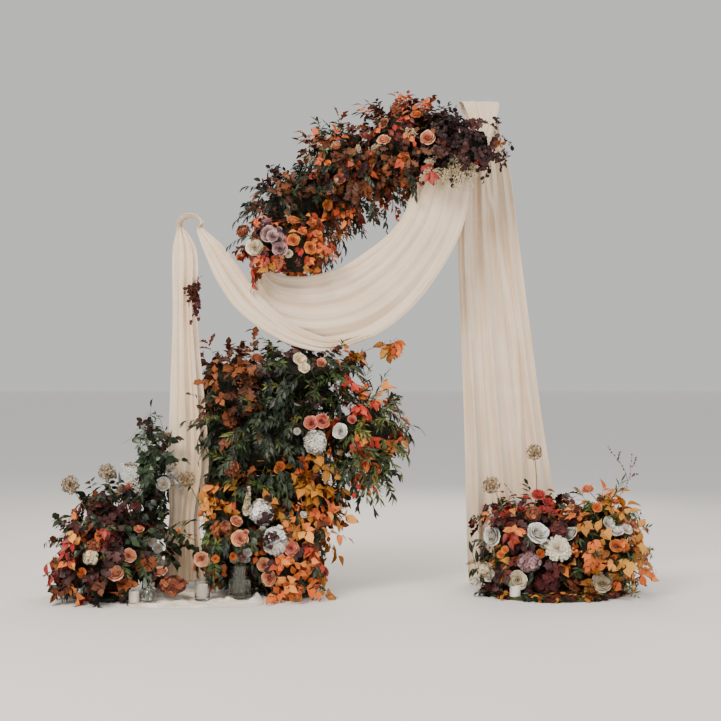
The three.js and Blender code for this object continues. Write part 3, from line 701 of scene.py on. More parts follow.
PETAL_MATS = {
    # Fresh petals: soft and matt, with a darker heart and a lighter rim
    "peach": petal_surface("rose petal, peach", "d0552c", "ee9366", "fbc8a0"),
    "coral": petal_surface("rose petal, coral", "bd3323", "e76650", "f7a78c"),
    "orange": petal_surface("rose petal, orange", "b53c0a", "e67420", "f5a548"),
    "lilac": petal_surface("rose petal, dusty lilac", "6d4552", "a97c84", "d2aeac"),
    "cream": petal_surface("rose petal, cream", "c9a870", "eeddb8", "fcf4de"),
    "white": petal_surface("petal, white", "bdb69f", "eae6dc", "fdfcf9"),
    "dusky": petal_surface("rose petal, dusky red", "5e1a18", "93332a", "b85f4e"),
    # Scarlet petals: deep, with a lighter rim
    "red": petal_surface("petal, scarlet", "7d120d", "b9231a", "dd4b38"),
    # Dried petals, seed heads and plumes: chalky and rough, with little gloss
    "rust": petal_surface("petal, dried rust", "5a2210", "96492a", "c07c52", 0.75),
    "tan": petal_surface("seed head, dried tan", "5d4630", "8f7450", "bda47c", 0.85),
    "plume": petal_surface("astilbe plume, cream", "a58c62", "cfbb94", "e9dcc0", 0.85),
    "wine": petal_surface("seed head, wine red", "3a0d12", "61191d", "8a3a35", 0.7),
}
# Stems are matt and green, twigs rougher and brown
STEM_MATS = {
    "green_stem": stem_surface("flower stem, green", "2c3a1c", "64733a"),
    "brown_twig": stem_surface("twig bark, brown", "2c1b12", "6a4a32", 0.8),
}
FINISHES = {**LEAF_MATS, **PETAL_MATS, **STEM_MATS}
FINISH_INDEX = {name: k for k, name in enumerate(FINISHES)}

LEAVES = {
    "ruscus": leaf(76, 25, (0.72, 1.0, 0.66), 0.25, 0.12),
    "salal": leaf(74, 46, (0.78, 1.0, 0.86, 0.46), 0.20, 0.16),
    "beech": leaf(64, 42, (0.80, 1.0, 0.86, 0.48), 0.22, 0.10),
    "cotinus": leaf(54, 44, (0.66, 0.96, 1.0, 0.74), 0.16, 0.12),
    "maple": leaf(74, 66, (0.55, 1.0, 0.48, 0.85, 0.30), 0.14, 0.20, (-0.10, 0.10, -0.04, 0.08, 0.0)),
    "amber": leaf(94, 58, (0.76, 1.0, 0.86, 0.48), 0.24, 0.20),
    "orange": leaf(84, 52, (0.78, 1.0, 0.84, 0.46), 0.22, 0.18),
    "oak": leaf(100, 58, (0.55, 0.30, 0.95, 0.50, 1.0, 0.55), 0.16, 0.18,
                (0.02, -0.02, 0.03, -0.02, 0.02, 0.0)),
    "creeper": leaf(80, 42, (0.60, 1.0, 0.88, 0.48), 0.24, 0.24),
    "willow": leaf(70, 13, (0.8, 1.0, 0.66), 0.2, 0.16),
    "eucalyptus": leaf(40, 36, (0.80, 1.0, 0.78), 0.12, 0.10),
    "fern": leaf(58, 15, (1.0, 0.85, 0.5), 0.2, 0.18),
}

# How each kind grows: the leaves on a twig, twig length, droop, how far leaves stand off the twig in degrees, the
# share by which leaves hang, upward or downward bias of the twig, and the twig's finish
HABITS = {
    "ruscus": (11, 250, 0.30, 34, 0.45, -0.35, "green_stem"),
    "salal": (8, 220, 0.14, 56, 0.30, 0.0, "green_stem"),
    "beech": (9, 190, 0.10, 50, 0.12, 0.05, "brown_twig"),
    "cotinus": (9, 170, 0.10, 62, 0.10, 0.10, "brown_twig"),
    "maple": (7, 190, 0.18, 58, 0.35, 0.0, "brown_twig"),
    "amber": (6, 210, 0.16, 52, 0.30, 0.0, "brown_twig"),
    "orange": (6, 190, 0.14, 54, 0.25, 0.0, "brown_twig"),
    "oak": (6, 200, 0.12, 52, 0.20, 0.0, "brown_twig"),
    "creeper": (6, 200, 0.30, 50, 0.50, -0.1, "brown_twig"),
    "willow": (13, 260, 0.18, 32, 0.15, 0.1, "green_stem"),
    "eucalyptus": (12, 230, 0.22, 66, 0.10, 0.0, "green_stem"),
    "fern": (17, 230, 0.30, 66, 0.10, 0.2, "green_stem"),
}


def node_triangles(name):
    """A CAD node's triangles in millimetres from the ground point."""
    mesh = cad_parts[name].data
    mesh.calc_loop_triangles()
    co = np.empty(len(mesh.vertices) * 3)
    mesh.vertices.foreach_get("co", co)
    corners = np.empty(len(mesh.loop_triangles) * 3, int)
    mesh.loop_triangles.foreach_get("vertices", corners)
    return (co.reshape(-1, 3) * 1000 + SEAT)[corners.reshape(-1, 3)]


def span_of(name):
    points = SHAPES[name].reshape(-1, 3)
    return points.min(0), points.max(0)


def tree_of(triangles):
    flat = triangles.reshape(-1, 3)
    return BVHTree.FromPolygons([tuple(p) for p in flat], np.arange(len(flat)).reshape(-1, 3).tolist())


SHAPES = {name: node_triangles(name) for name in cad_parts}
SOLIDS = tree_of(np.concatenate([SHAPES[name] for name in sorted(SHAPES) if not name.startswith("allium")]))
sheets = [np.array([mesh.vertices[i].co for f in mesh.polygons for i in f.vertices]).reshape(-1, 4, 3)
          for mesh in (main_voile.data, left_voile.data)]
CLOTHS = tree_of(np.concatenate(sheets)[:, [[0, 1, 2], [0, 2, 3]]].reshape(-1, 3, 3) * 1000 + SEAT)
TRUNK_X, TRUNK_Y, TRUNK_R, TRUNK_TOP = -720.0, 300.0, 370.0, 2400.0
LIMB_LINE = np.array([(1100, 45, 3335), (760, 68, 3300), (655, 78, 3245), (500, 92, 3195), (330, 110, 3135),
                      (135, 134, 3058), (-60, 160, 2965), (-250, 192, 2842), (-430, 230, 2700),
                      (-530, 260, 2570), (-640, 290, 2400)], float)
LIMB_R = 100.0


def in_tree(points, margin):
    """Which places are in the spaces that the sleeves and the loop keep open."""
    off_trunk = np.hypot(points[:, 0] - TRUNK_X, points[:, 1] - TRUNK_Y)
    trunk = (off_trunk < TRUNK_R + margin) & (points[:, 2] < TRUNK_TOP)
    near = np.full(len(points), 1e9)
    for a, b in zip(LIMB_LINE, LIMB_LINE[1:]):
        t = np.clip(((points - a) @ (b - a)) / ((b - a) @ (b - a)), 0, 1)
        near = np.minimum(near, np.linalg.norm(points - a - t[:, None] * (b - a), axis=1))
    return trunk | (near < LIMB_R + margin)


def exposed(name, per_square_metre, covered=55):
    """Places spread over the open surface of a node, and the way out from each."""
    triangles = SHAPES[name]
    cross = np.cross(triangles[:, 1] - triangles[:, 0], triangles[:, 2] - triangles[:, 0])
    area = np.linalg.norm(cross, axis=1) / 2
    count = int(area.sum() / 1e6 * per_square_metre)
    pick = rng.choice(len(area), count, p=area / area.sum())
    a, b = rng.random((2, count))
    swap = a + b > 1
    a[swap], b[swap] = 1 - a[swap], 1 - b[swap]
    corner = triangles[pick]
    points = corner[:, 0] + a[:, None] * (corner[:, 1] - corner[:, 0])
    points = points + b[:, None] * (corner[:, 2] - corner[:, 0])
    normals = unit(cross[pick])
    low, high = span_of(name)
    round_out = unit((points - (low + high) / 2) / np.maximum(high - low, 1) ** 2)
    free = ~in_tree(points, 30) & (points[:, 2] > 4) & ((normals * round_out).sum(1) > 0.25)
    for k in np.flatnonzero(free):
        hit = SOLIDS.ray_cast(Vector(points[k] + normals[k] * 3), Vector(normals[k]), covered)
        free[k] = hit[0] is None
    return points[free], unit(normals + round_out)[free]


def clear_of_cloth(roots, middles, tips, reach):
    """Which leaves neither cross the voile nor touch it."""
    good = np.ones(len(roots), bool)
    for k, (root, middle, tip, near) in enumerate(zip(roots, middles, tips, reach)):
        way = tip - root
        length = float(np.linalg.norm(way))
        if CLOTHS.ray_cast(Vector(root), Vector(way / length), length + 8)[0] is not None:
            good[k] = False
        elif CLOTHS.find_nearest(Vector(middle), float(near))[0] is not None:
            good[k] = False
    return good


LOW_CORNER, HIGH_CORNER = (np.array(corner) * 1000 + SEAT for corner in cad_box)
BEYOND = 38  # how far a leaf may reach past the solids' box


def over_bloom(points, luck):
    """Which leaves would lie over a bloom, or over what the picture shows bare. luck is one number a twig."""
    hidden = np.zeros(len(points), bool)
    for at, way, width in zip(OPEN_AT, OPEN_WAY, OPEN_WIDTH):
        off = points - at
        along = off @ way
        aside = np.linalg.norm(off - along[:, None] * way, axis=1)
        hidden |= (along > -0.2 * width) & (along < 320) & (aside < 0.94 * width)
    for x, y, radius, top in VESSELS.values():
        hidden |= (np.hypot(points[:, 0] - x, points[:, 1] - y) < radius + 10) & (points[:, 2] < top + 12)
    seen = pixel(points)
    for left, high, right, low, kept, behind in BARE:
        inside = (seen > (left, high)).all(1) & (seen < (right, low)).all(1)
        hidden |= inside & (points[:, 1] < behind) & (luck > kept)
    return hidden


def sprigs(heap, kind, roots, out, lean, shorter, flat, small, painted_shade=0.0):
    """Twigs of one kind from roots, with their leaves. flat is how much they lie along the surface."""
    count = len(roots)
    if not count:
        return
    leaves, length, droop, stand, hang, lift, stem = HABITS[kind]
    shape = LEAVES[kind]
    long = length * shorter * rng.uniform(0.75, 1.2, count)
    way = (1 - flat) * out + (0.45 + 0.5 * flat) * rng.normal(size=(count, 3)) + lift * UP
    way = unit(way + lean)
    bend = 0.12 * rng.normal(size=(count, 3))
    start = roots - out * (55 - 35 * flat)

    def at(t):
        t = np.asarray(t)[..., None]
        pull = bend[:, None] + np.array((0, 0, -droop))
        return start[:, None] + long[:, None, None] * (way[:, None] * t + pull * t**2)

    t = np.linspace(0.30, 1.0, leaves)[None] + rng.uniform(-0.03, 0.03, (count, leaves))
    t[:, -1] = 1.0
    base = at(t)
    tangent = unit(at(t + 0.02) - base)
    face = unit(out[:, None] + np.array((0, 0, 0.35)) + 0.30 * rng.normal(size=(count, leaves, 3)))
    side = unit(np.cross(tangent, face))
    turn = np.where(np.arange(leaves) % 2, 1.0, -1.0)[None, :, None]
    stand_off = math.radians(stand) * rng.uniform(0.75, 1.2, (count, leaves))[..., None]
    stand_off[:, -1] *= 0.15
    axis = unit(tangent * np.cos(stand_off) + side * turn * np.sin(stand_off) + np.array((0, 0, -hang))
                + 0.12 * rng.normal(size=(count, leaves, 3)))
    up = unit(face - (face * axis).sum(-1, keepdims=True) * axis)
    across = np.cross(axis, up)
    size = small * rng.uniform(0.72, 1.15, (count, leaves)) * rng.uniform(0.85, 1.1, count)[:, None]
    # Each twig's leaves are toned darker by the painted shade given for their mass
    tone = np.clip(rng.normal(0.5 - painted_shade, 0.18, count)[:, None] + rng.normal(0, 0.14, (count, leaves)), 0, 1)
    reach = shape[0][:, 1].max()
    base, across, axis, up = (a.reshape(-1, 3) for a in (base, across, axis, up))
    size, tone = size.ravel(), tone.ravel()
    tip = base + axis * (reach * size)[:, None]
    middle = (base + tip) / 2
    keep = ~in_tree(base, 8) & ~in_tree(tip, 8)
    keep &= ((tip > LOW_CORNER - BEYOND) & (tip < HIGH_CORNER + BEYOND)).all(1) & (base[:, 2] > 3)
    luck = np.repeat(rng.random(count), leaves)
    keep &= ~over_bloom(middle, luck) & ~over_bloom(tip, luck)
    root_of = np.repeat(roots + out * 6, leaves, axis=0)
    keep[keep] = clear_of_cloth(root_of[keep], middle[keep], tip[keep], 0.42 * reach * size[keep])
    keep &= np.repeat(keep.reshape(count, leaves).sum(1) > 0.34 * leaves, leaves)
    if not keep.any():
        return
    base, across, axis, up, size, tone = (a[keep] for a in (base, across, axis, up, size, tone))
    tile(heap, shape, base, across, axis, up, size, tone, kind, rng.uniform(0.3, 2.2, keep.sum()))
    last = (keep.reshape(count, leaves) * np.arange(1, leaves + 1)).max(1)
    share = np.where(last > 0, np.take_along_axis(t, np.maximum(last - 1, 0)[:, None], 1)[:, 0], 0)
    bare = share > 0
    line = at(np.linspace(0, 1, 5)[None] * share[:, None])[bare]
    taper = np.linspace(1.7, 0.8, 5)[None]
    tubes(heap, line, taper, rng.uniform(0.1, 0.6, (bare.sum(), 1)), stem)


SEED_SPREAD = 9.0  # how far round a seed its kind is found, in pixels


def choose(points, out, mix, seeds):
    """A kind for each place, from the mass's mix and, on the side that shows, from the picture's seeds."""
    kinds = sorted(set(mix) | set(seeds))
    weight = np.array([[mix.get(kind, 0.0) for kind in kinds]] * len(points))
    shown = pixel(points)
    facing = np.clip(0.4 - out[:, 1], 0, 1)
    for kind, places in seeds.items():
        for px, py in places:
            near = np.exp(-((shown[:, 0] - px) ** 2 + (shown[:, 1] - py) ** 2) / (2 * SEED_SPREAD**2))
            weight[:, kinds.index(kind)] += 3.5 * near * facing
    weight = np.cumsum(weight / weight.sum(1, keepdims=True), axis=1)
    return np.array(kinds)[(rng.random((len(points), 1)) > weight).sum(1).clip(0, len(kinds) - 1)]

# Blooms, seed heads and plumes


def dahlia_pattern():
    parts = []
    rings = ((5, 12, 0.42), (8, 26, 0.55), (11, 40, 0.68), (14, 55, 0.80), (15, 71, 0.92), (15, 88, 1.0),
             (13, 106, 0.96))
    for j, (petals, lean, reach) in enumerate(rings):
        for k in range(petals):
            turn = 2 * math.pi * (k + 0.5 * (j % 2)) / petals + rng.normal(0, 0.05)
            tilt = math.radians(lean + rng.normal(0, 4))
            around = np.array((math.cos(turn), math.sin(turn), 0.0))
            way = around * math.sin(tilt) + np.array((0, 0, math.cos(tilt)))
            back = np.array((0, 0, math.sin(tilt))) - around * math.cos(tilt)
            side = np.cross(back, way)
            long = reach * rng.uniform(0.93, 1.05)

            def place(u, v):
                broad = 0.155 * np.sin(np.pi * np.minimum(0.16 + 0.74 * v, 0.80)) + 0.015
                along = 0.10 + (long - 0.10) * v * (1 - 0.05 * u**2)
                up = 0.10 * u**2 * (1 - 0.4 * v) + 0.05 * v**2
                return tuple(way[i] * along + side[i] * u * broad + back[i] * up for i in range(3))

            points, faces, uv = petal(4, 3, place, 0.03)
            parts.append((points, faces, uv, 0.10 * j - 0.35 + 0.25 * uv[:, 1]))
    return joined(parts)


def bead_pattern():
    """A small eight-sided bead of unit radius."""
    points = np.array([(1, 0, 0), (0, 1, 0), (-1, 0, 0), (0, -1, 0), (0, 0, 1), (0, 0, -1)], float)
    faces = np.array([(0, 1, 4), (1, 2, 4), (2, 3, 4), (3, 0, 4), (1, 0, 5), (2, 1, 5), (3, 2, 5), (0, 3, 5)])
    return points, faces, np.full((6, 2), 0.5), np.array((0, 0, 0, 0, 0.2, -0.2))


def ball_pattern():
    """A round ball of unit radius from an icosphere."""
    deselect()
    bpy.ops.mesh.primitive_ico_sphere_add(subdivisions=2, radius=1)
    mesh = bpy.context.object.data
    points = np.array([v.co for v in mesh.vertices])
    faces = np.array([list(f.vertices) for f in mesh.polygons])
    bpy.ops.object.delete()
    return points, faces, np.full((len(points), 2), 0.5), 0.3 * points[:, 2]


PATTERNS = {
    "rose": rose_pattern((0.14, 0.54, 3), (0.28, 0.60, 3), (0.44, 0.60, 4), (0.62, 0.52, 5), (0.82, 0.33, 5),
                         (1.0, 0.02, 6)),
    "bud_rose": rose_pattern((0.14, 0.72, 3), (0.30, 0.80, 4), (0.48, 0.78, 4), (0.66, 0.68, 5),
                             (0.84, 0.45, 5)),
    "floret": floret_pattern(4),
    "star": floret_pattern(6, 0.1, 0.26),
    "cup": cup_pattern(),
    "dahlia": dahlia_pattern(),
    "bead": bead_pattern(),
    "ball": ball_pattern(),
}


def bloom(heap, kind, finish, at, facing, radius, tone):
    at, facing = np.atleast_2d(np.asarray(at, float)), unit(np.atleast_2d(np.asarray(facing, float)))
    across, along = frames(facing, rng.uniform(0, 2 * np.pi, len(at)))
    tile(heap, PATTERNS[kind], at, across, along, facing, radius, tone, finish)


def head_of_florets(heap, finish, at, facing, radii, florets, size, tone, lumpy):
    """A hydrangea head: florets over a lumpy ovoid, round a solid heart."""
    at, facing, radii = (np.asarray(a, float) for a in (at, facing, np.broadcast_to(radii, 3)))
    way = even_directions(florets)
    way = way[way @ unit(facing) > -0.6]
    up = unit(way + 0.22 * rng.normal(size=way.shape))
    across, along = frames(up, rng.uniform(0, 2 * np.pi, len(way)))
    mean = radii.mean()
    lumps = np.array([noise.noise(Vector(d * 2.3 + at / 90)) for d in way])[:, None]
    place = at + way * radii * (1 - 0.45 * size + lumpy * lumps)
    place = place + 0.05 * mean * rng.normal(size=(len(way), 1)) * way
    # Florets out on the lumps are toned lighter and those sunk between them darker: painted shade
    tile(heap, PATTERNS["floret"], place, across, along, up, size * mean * rng.uniform(0.8, 1.15, len(way)),
         tone + 0.6 * lumps[:, 0] + 0.16 * rng.normal(size=len(way)), finish)
    points, faces, uv, _ = PATTERNS["ball"]
    heap.take((at + points * radii * 0.72)[None], faces, uv, tone - 0.45, finish)


def seed_globe(heap, at, radius, foot, finish):
    """A dried allium: a globe of fine spokes that end in stars, on a long stem."""
    spokes = 95
    at, foot = np.asarray(at, float), np.asarray(foot, float)
    way = unit(even_directions(spokes) + 0.10 * rng.normal(size=(spokes, 3)))
    far = radius * rng.uniform(0.72, 1.0, (spokes, 1))
    lines = np.stack([at + way * 0.12 * radius, at + way * 0.55 * far, at + way * far], 1)
    tubes(heap, lines, 0.8, rng.uniform(0.2, 0.7, (spokes, 1)), finish)
    across, along = frames(way, rng.uniform(0, 6, spokes))
    size = 0.15 * radius * rng.uniform(0.8, 1.2, spokes)
    tile(heap, PATTERNS["star"], at + way * far * 0.97, across, along, way, size,
         rng.uniform(0.25, 0.9, spokes), finish, rng.uniform(1, 4, spokes))
    bloom(heap, "ball", finish, at, (0, 0, 1), 0.16 * radius, 0.1)
    t = np.linspace(0, 1, 9)[:, None]
    stem = at + (foot - at) * t + np.array((20, 0, 0)) * np.sin(np.pi * t) * np.array((1, 0, 0))
    tubes(heap, stem[None], np.linspace(2.6, 3.6, 9)[None], 0.6, "green_stem", 6)


def plume(heap, at, way, length, width, finish="plume", branches=24):
    """A feathery spike: short side twigs set with beads, shorter towards the tip."""
    at, way = np.asarray(at, float), unit(np.asarray(way, float))
    sag = np.array((0, 0, -0.25 * length))
    t = np.linspace(0, 1, 8)[:, None]
    spine = at + way * length * t + sag * t**2
    tubes(heap, spine[None], np.linspace(1.8, 0.7, 8)[None], 0.3, "green_stem", 4)
    share = np.linspace(0.12, 0.98, branches)
    start = at + way * length * share[:, None] + sag * share[:, None] ** 2
    turn = 2.4 * np.arange(branches) + rng.uniform(0, 0.6, branches)
    around, _ = frames(np.repeat(way[None], branches, 0), turn)
    side = unit(around + 0.75 * way + 0.15 * rng.normal(size=(branches, 3)))
    reach = width * (1 - share) ** 0.7 * rng.uniform(0.75, 1.15, branches) + 5
    lines = np.stack([start, start + side * reach[:, None] * 0.5, start + side * reach[:, None]], 1)
    tubes(heap, lines, 0.6, rng.uniform(0.2, 0.6, (branches, 1)), finish)
    beads = 7
    along = np.linspace(0.25, 1.05, beads)
    place = start[:, None] + side[:, None] * (reach[:, None] * along)[..., None]
    place = (place + rng.normal(0, 2.2, (branches, beads, 3))).reshape(-1, 3)
    up = unit(rng.normal(size=place.shape))
    across, ahead = frames(up, np.zeros(len(up)))
    tile(heap, PATTERNS["bead"], place, across, ahead, up, rng.uniform(2.2, 4.2, len(place)),
         rng.uniform(0.2, 0.9, len(place)), finish)


def spike(heap, at, way, length, radius, finish, flowers):
    """Cupped flowers round an upright stem, smaller towards its tip."""
    at, way = np.asarray(at, float), unit(np.asarray(way, float))
    tubes(heap, (at + way * length * np.linspace(0, 1, 5)[:, None])[None], 2.2, 0.5, "green_stem", 5)
    share = np.linspace(0.1, 0.98, flowers)
    around, _ = frames(np.repeat(way[None], flowers, 0), 2.4 * np.arange(flowers))
    size = radius * (1.05 - 0.7 * share)
    place = at + way * (length * share)[:, None] + around * (0.7 * size)[:, None]
    bloom(heap, "cup", finish, place, around + 0.4 * way, size, rng.uniform(0.3, 0.8, flowers))


def berries(heap, at, spread, radius, finish):
    """A bunch of round berries on thin twigs."""
    count = 14
    place = at + rng.normal(size=(count, 3)) * spread
    lines = np.stack([np.repeat(at[None], count, 0), (place + at) / 2 + (0, 0, 3), place], 1)
    tubes(heap, lines, 0.8, 0.3, "brown_twig")
    bloom(heap, "ball", finish, place, unit(rng.normal(size=place.shape)),
          radius * rng.uniform(0.8, 1.15, count), rng.uniform(0.2, 0.8, count))


def stalk(heap, start, end, radius, finish="green_stem"):
    start, end = np.asarray(start, float), np.asarray(end, float)
    line = start + (end - start) * np.linspace(0, 1, 7)[:, None]
    tubes(heap, line[None], radius, 0.5, finish, 5)


def seat_on(px, py):
    """Where the sight through a pixel meets the masses, or passes nearest to them, and the way out there."""
    way = unit(at_pixel(px, py, 0.0) - EYE)
    place, normal, *_ = GREENS.ray_cast(Vector(EYE), Vector(way), 12000)
    if place is not None:
        return np.array(place), np.array(normal)
    sights = np.array([at_pixel(px, py, y) for y in np.arange(-760, 240, 20)])
    feet = np.array([GREENS.find_nearest(Vector(sight))[0] for sight in sights])
    far = np.linalg.norm(sights - feet, axis=1)
    k = int(far.argmin())
    way = unit(sights[k] - feet[k])
    return feet[k] + way * min(far[k], 85.0), unit(way + (0, -0.35, 0.1))


# Planting

# What grows on each mass: its slot, the shares of the kinds, and the pixels where one kind stands out
MASSES = {
    "garland_tip": ("burgundy_foliage", {
        "cotinus": 7, "maple": 0.5, "beech": 0.4, "oak": 0.3, "creeper": 0.1}, {
        "creeper": [(431, 171), (435, 160)], "cotinus": [(505, 155), (470, 130), (455, 120), (480, 145),
        (452, 188), (495, 160), (485, 140)]}),
    "garland_outer": ("rust_foliage", {
        "beech": 2, "oak": 1.6, "orange": 2, "cotinus": 1.2, "creeper": 0.6, "ruscus": 1.2}, {
        "orange": [(382, 93), (398, 97), (406, 112), (417, 114), (437, 117)], "creeper": [(412, 98)],
        "cotinus": [(430, 150), (445, 135), (418, 158)], "ruscus": [(372, 120), (362, 128)],
        "beech": [(395, 128), (385, 120), (402, 150)], "oak": [(390, 160)]}),
    "garland_middle": ("rust_foliage", {
        "ruscus": 2.4, "beech": 2, "eucalyptus": 0.8, "oak": 1.4, "orange": 0.8, "creeper": 0.5,
        "fern": 0.8}, {
        "ruscus": [(335, 120), (320, 140)], "fern": [(350, 130)], "creeper": [(345, 205)],
        "orange": [(332, 195)], "beech": [(325, 200), (340, 188), (372, 170), (378, 152)],
        "oak": [(360, 165), (345, 165)], "cotinus": [(355, 185), (365, 178)]}),
    "garland_inner": ("green_foliage", {
        "ruscus": 3.2, "beech": 1.2, "cotinus": 1.2, "fern": 1.0, "orange": 0.7, "oak": 0.6}, {
        "ruscus": [(285, 200), (300, 185), (270, 210)], "fern": [(310, 200)], "orange": [(320, 212),
        (312, 220)], "beech": [(330, 205)]}),
    "garland_drop": ("rust_foliage", {
        "orange": 3, "creeper": 1.4, "beech": 1.2, "ruscus": 0.8, "cotinus": 0.6, "amber": 0.6}, {
        "orange": [(291, 221), (307, 226), (316, 230), (313, 248), (293, 242), (306, 251), (307, 276)],
        "creeper": [(260, 265), (270, 266), (325, 255), (334, 268)], "cotinus": [(256, 285)],
        "beech": [(250, 275), (280, 275)], "amber": [(300, 265)]}),
    "cascade_top": ("green_foliage", {
        "ruscus": 4, "fern": 0.7, "cotinus": 1.1, "willow": 0.5}, {
        "cotinus": [(338, 378), (290, 365)], "creeper": [(350, 388)], "ruscus": [(300, 385), (275, 378)],
        "fern": [(328, 372)], "orange": [(343, 360)]}),
    "cascade_shoulder": ("rust_foliage", {
        "beech": 3, "oak": 1.6, "ruscus": 1.4, "cotinus": 0.6}, {
        "oak": [(229, 372), (248, 369), (211, 389)], "beech": [(235, 385), (216, 405), (225, 430),
        (240, 395)], "ruscus": [(252, 400)]}),
    "cascade_middle": ("green_foliage", {
        "ruscus": 6, "cotinus": 0.4, "willow": 0.5, "fern": 0.6}, {
        "beech": [(222, 428)], "amber": [(300, 463), (298, 446), (310, 460)], "orange": [(328, 455)],
        "cotinus": [(340, 402), (330, 395)], "creeper": [(345, 388)], "fern": [(255, 420)],
        "ruscus": [(265, 440)]}),
    "cascade_wing": ("rust_foliage", {
        "willow": 2.4, "creeper": 1.0, "orange": 1.0, "ruscus": 1.6, "fern": 0.6}, {
        "willow": [(385, 410), (395, 440), (375, 428), (400, 462)], "creeper": [(367, 433), (350, 395),
        (340, 412)], "orange": [(360, 446), (350, 441), (356, 430), (360, 480)], "ruscus": [(345, 470),
        (370, 465), (385, 470)]}),
    "cascade_lower": ("rust_foliage", {
        "amber": 2, "orange": 1.2, "ruscus": 2.2, "cotinus": 1.0, "beech": 1.2, "fern": 0.6}, {
        "amber": [(295, 460), (305, 475), (314, 493), (290, 470), (308, 482)], "orange": [(318, 512)],
        "beech": [(240, 470), (245, 512)], "oak": [(225, 480), (250, 470)], "creeper": [(216, 456),
        (230, 448)], "ruscus": [(268, 478), (262, 460)], "fern": [(275, 492)], "cotinus": [(285, 505),
        (298, 522)]}),
    "left_bank": ("burgundy_foliage", {
        "cotinus": 3.0, "maple": 1.3, "creeper": 0.6, "ruscus": 1.4, "salal": 1.4, "beech": 0.8,
        "orange": 0.4, "fern": 0.5}, {
        "maple": [(62, 497), (115, 492)], "cotinus": [(75, 492), (85, 500), (125, 495), (100, 585)],
        "creeper": [(95, 520), (78, 555)], "orange": [(90, 558), (110, 575)], "salal": [(80, 540),
        (62, 542)], "beech": [(120, 585)]}),
    "left_column": ("green_foliage", {
        "ruscus": 2.2, "salal": 3, "fern": 0.8, "eucalyptus": 0.8, "cotinus": 0.4}, {
        "salal": [(162, 435), (155, 458), (150, 475), (160, 490), (172, 492)], "fern": [(155, 525)],
        "ruscus": [(160, 512)]}),
    "left_centre": ("green_foliage", {
        "ruscus": 2.4, "salal": 1.6, "beech": 1.4, "creeper": 0.5, "eucalyptus": 0.6, "orange": 0.4,
        "fern": 1.0}, {
        "creeper": [(216, 472)], "orange": [(222, 482)], "oak": [(206, 488)], "beech": [(205, 500),
        (220, 500)], "ruscus": [(228, 512), (215, 530), (235, 560)], "fern": [(205, 545), (240, 550)]}),
    "left_front": ("rust_foliage", {
        "orange": 2, "ruscus": 1.8, "cotinus": 1.2, "amber": 0.8, "beech": 0.8}, {
        "orange": [(275, 560), (290, 562), (305, 553), (300, 558)], "creeper": [(313, 548)],
        "ruscus": [(262, 582)], "cotinus": [(285, 572), (298, 540)]}),
    "right_bank": ("burgundy_foliage", {
        "cotinus": 3.2, "maple": 1.6, "fern": 0.8, "ruscus": 1.2, "orange": 0.7, "amber": 0.6}, {
        "cotinus": [(542, 583), (550, 570), (480, 580), (474, 590), (545, 525)], "maple": [(549, 560)],
        "amber": [(569, 575), (560, 565)], "fern": [(500, 555)], "ruscus": [(495, 562), (510, 540)],
        "creeper": [(505, 515), (542, 503), (552, 512)], "orange": [(528, 503), (525, 548), (575, 528)]}),
    "right_side": ("rust_foliage", {
        "orange": 2.4, "amber": 2.0, "fern": 1.4, "cotinus": 0.7, "willow": 0.9}, {
        "amber": [(600, 500), (625, 500)], "orange": [(612, 497), (610, 575), (630, 540)],
        "cotinus": [(618, 508)], "fern": [(600, 560)]}),
}
# Which way twigs lean, and how much shorter, darker with painted shade, denser and smaller they are, where that
# differs
LEANS = {"cascade_wing": (0.2, -0.1, 0.0), "garland_tip": (-0.15, -0.1, -0.05),
         "garland_drop": (0.0, -0.1, -0.35), "left_column": (0.0, 0.0, 0.35), "left_bank": (-0.1, 0, 0.25),
         "right_bank": (0, -0.05, 0.2), "right_side": (0.1, 0, 0.3), "left_front": (0, -0.1, 0.15),
         "left_centre": (0, -0.1, 0.25)}
SHORTER = {"garland_tip": 0.85, "garland_drop": 0.7, "cascade_wing": 0.85}
# Leaves high in the garland and the cascade are toned darker: painted shade, as of the tree's canopy over them
PAINTED_SHADE_BY_MASS = {"garland_tip": 0.26, "garland_outer": 0.22, "garland_middle": 0.24, "garland_inner": 0.3,
          "garland_drop": 0.15, "cascade_top": 0.1, "cascade_shoulder": 0.2, "cascade_middle": 0.12}
FULLER = {"left_bank": 1.3, "left_column": 1.35}
SMALLER = {"garland_tip": 0.78, "garland_outer": 0.8, "garland_middle": 0.82, "garland_inner": 0.85,
           "garland_drop": 0.78}
PER_SQUARE_METRE = 141
BLOOM_SOLIDS = [name for name in sorted(SHAPES) if name.startswith(("rose", "hydrangea", "dahlia"))]
GREENS = tree_of(np.concatenate([SHAPES[f"{name}_foliage"] for name in MASSES]
                                + [SHAPES[name] for name in BLOOM_SOLIDS]))

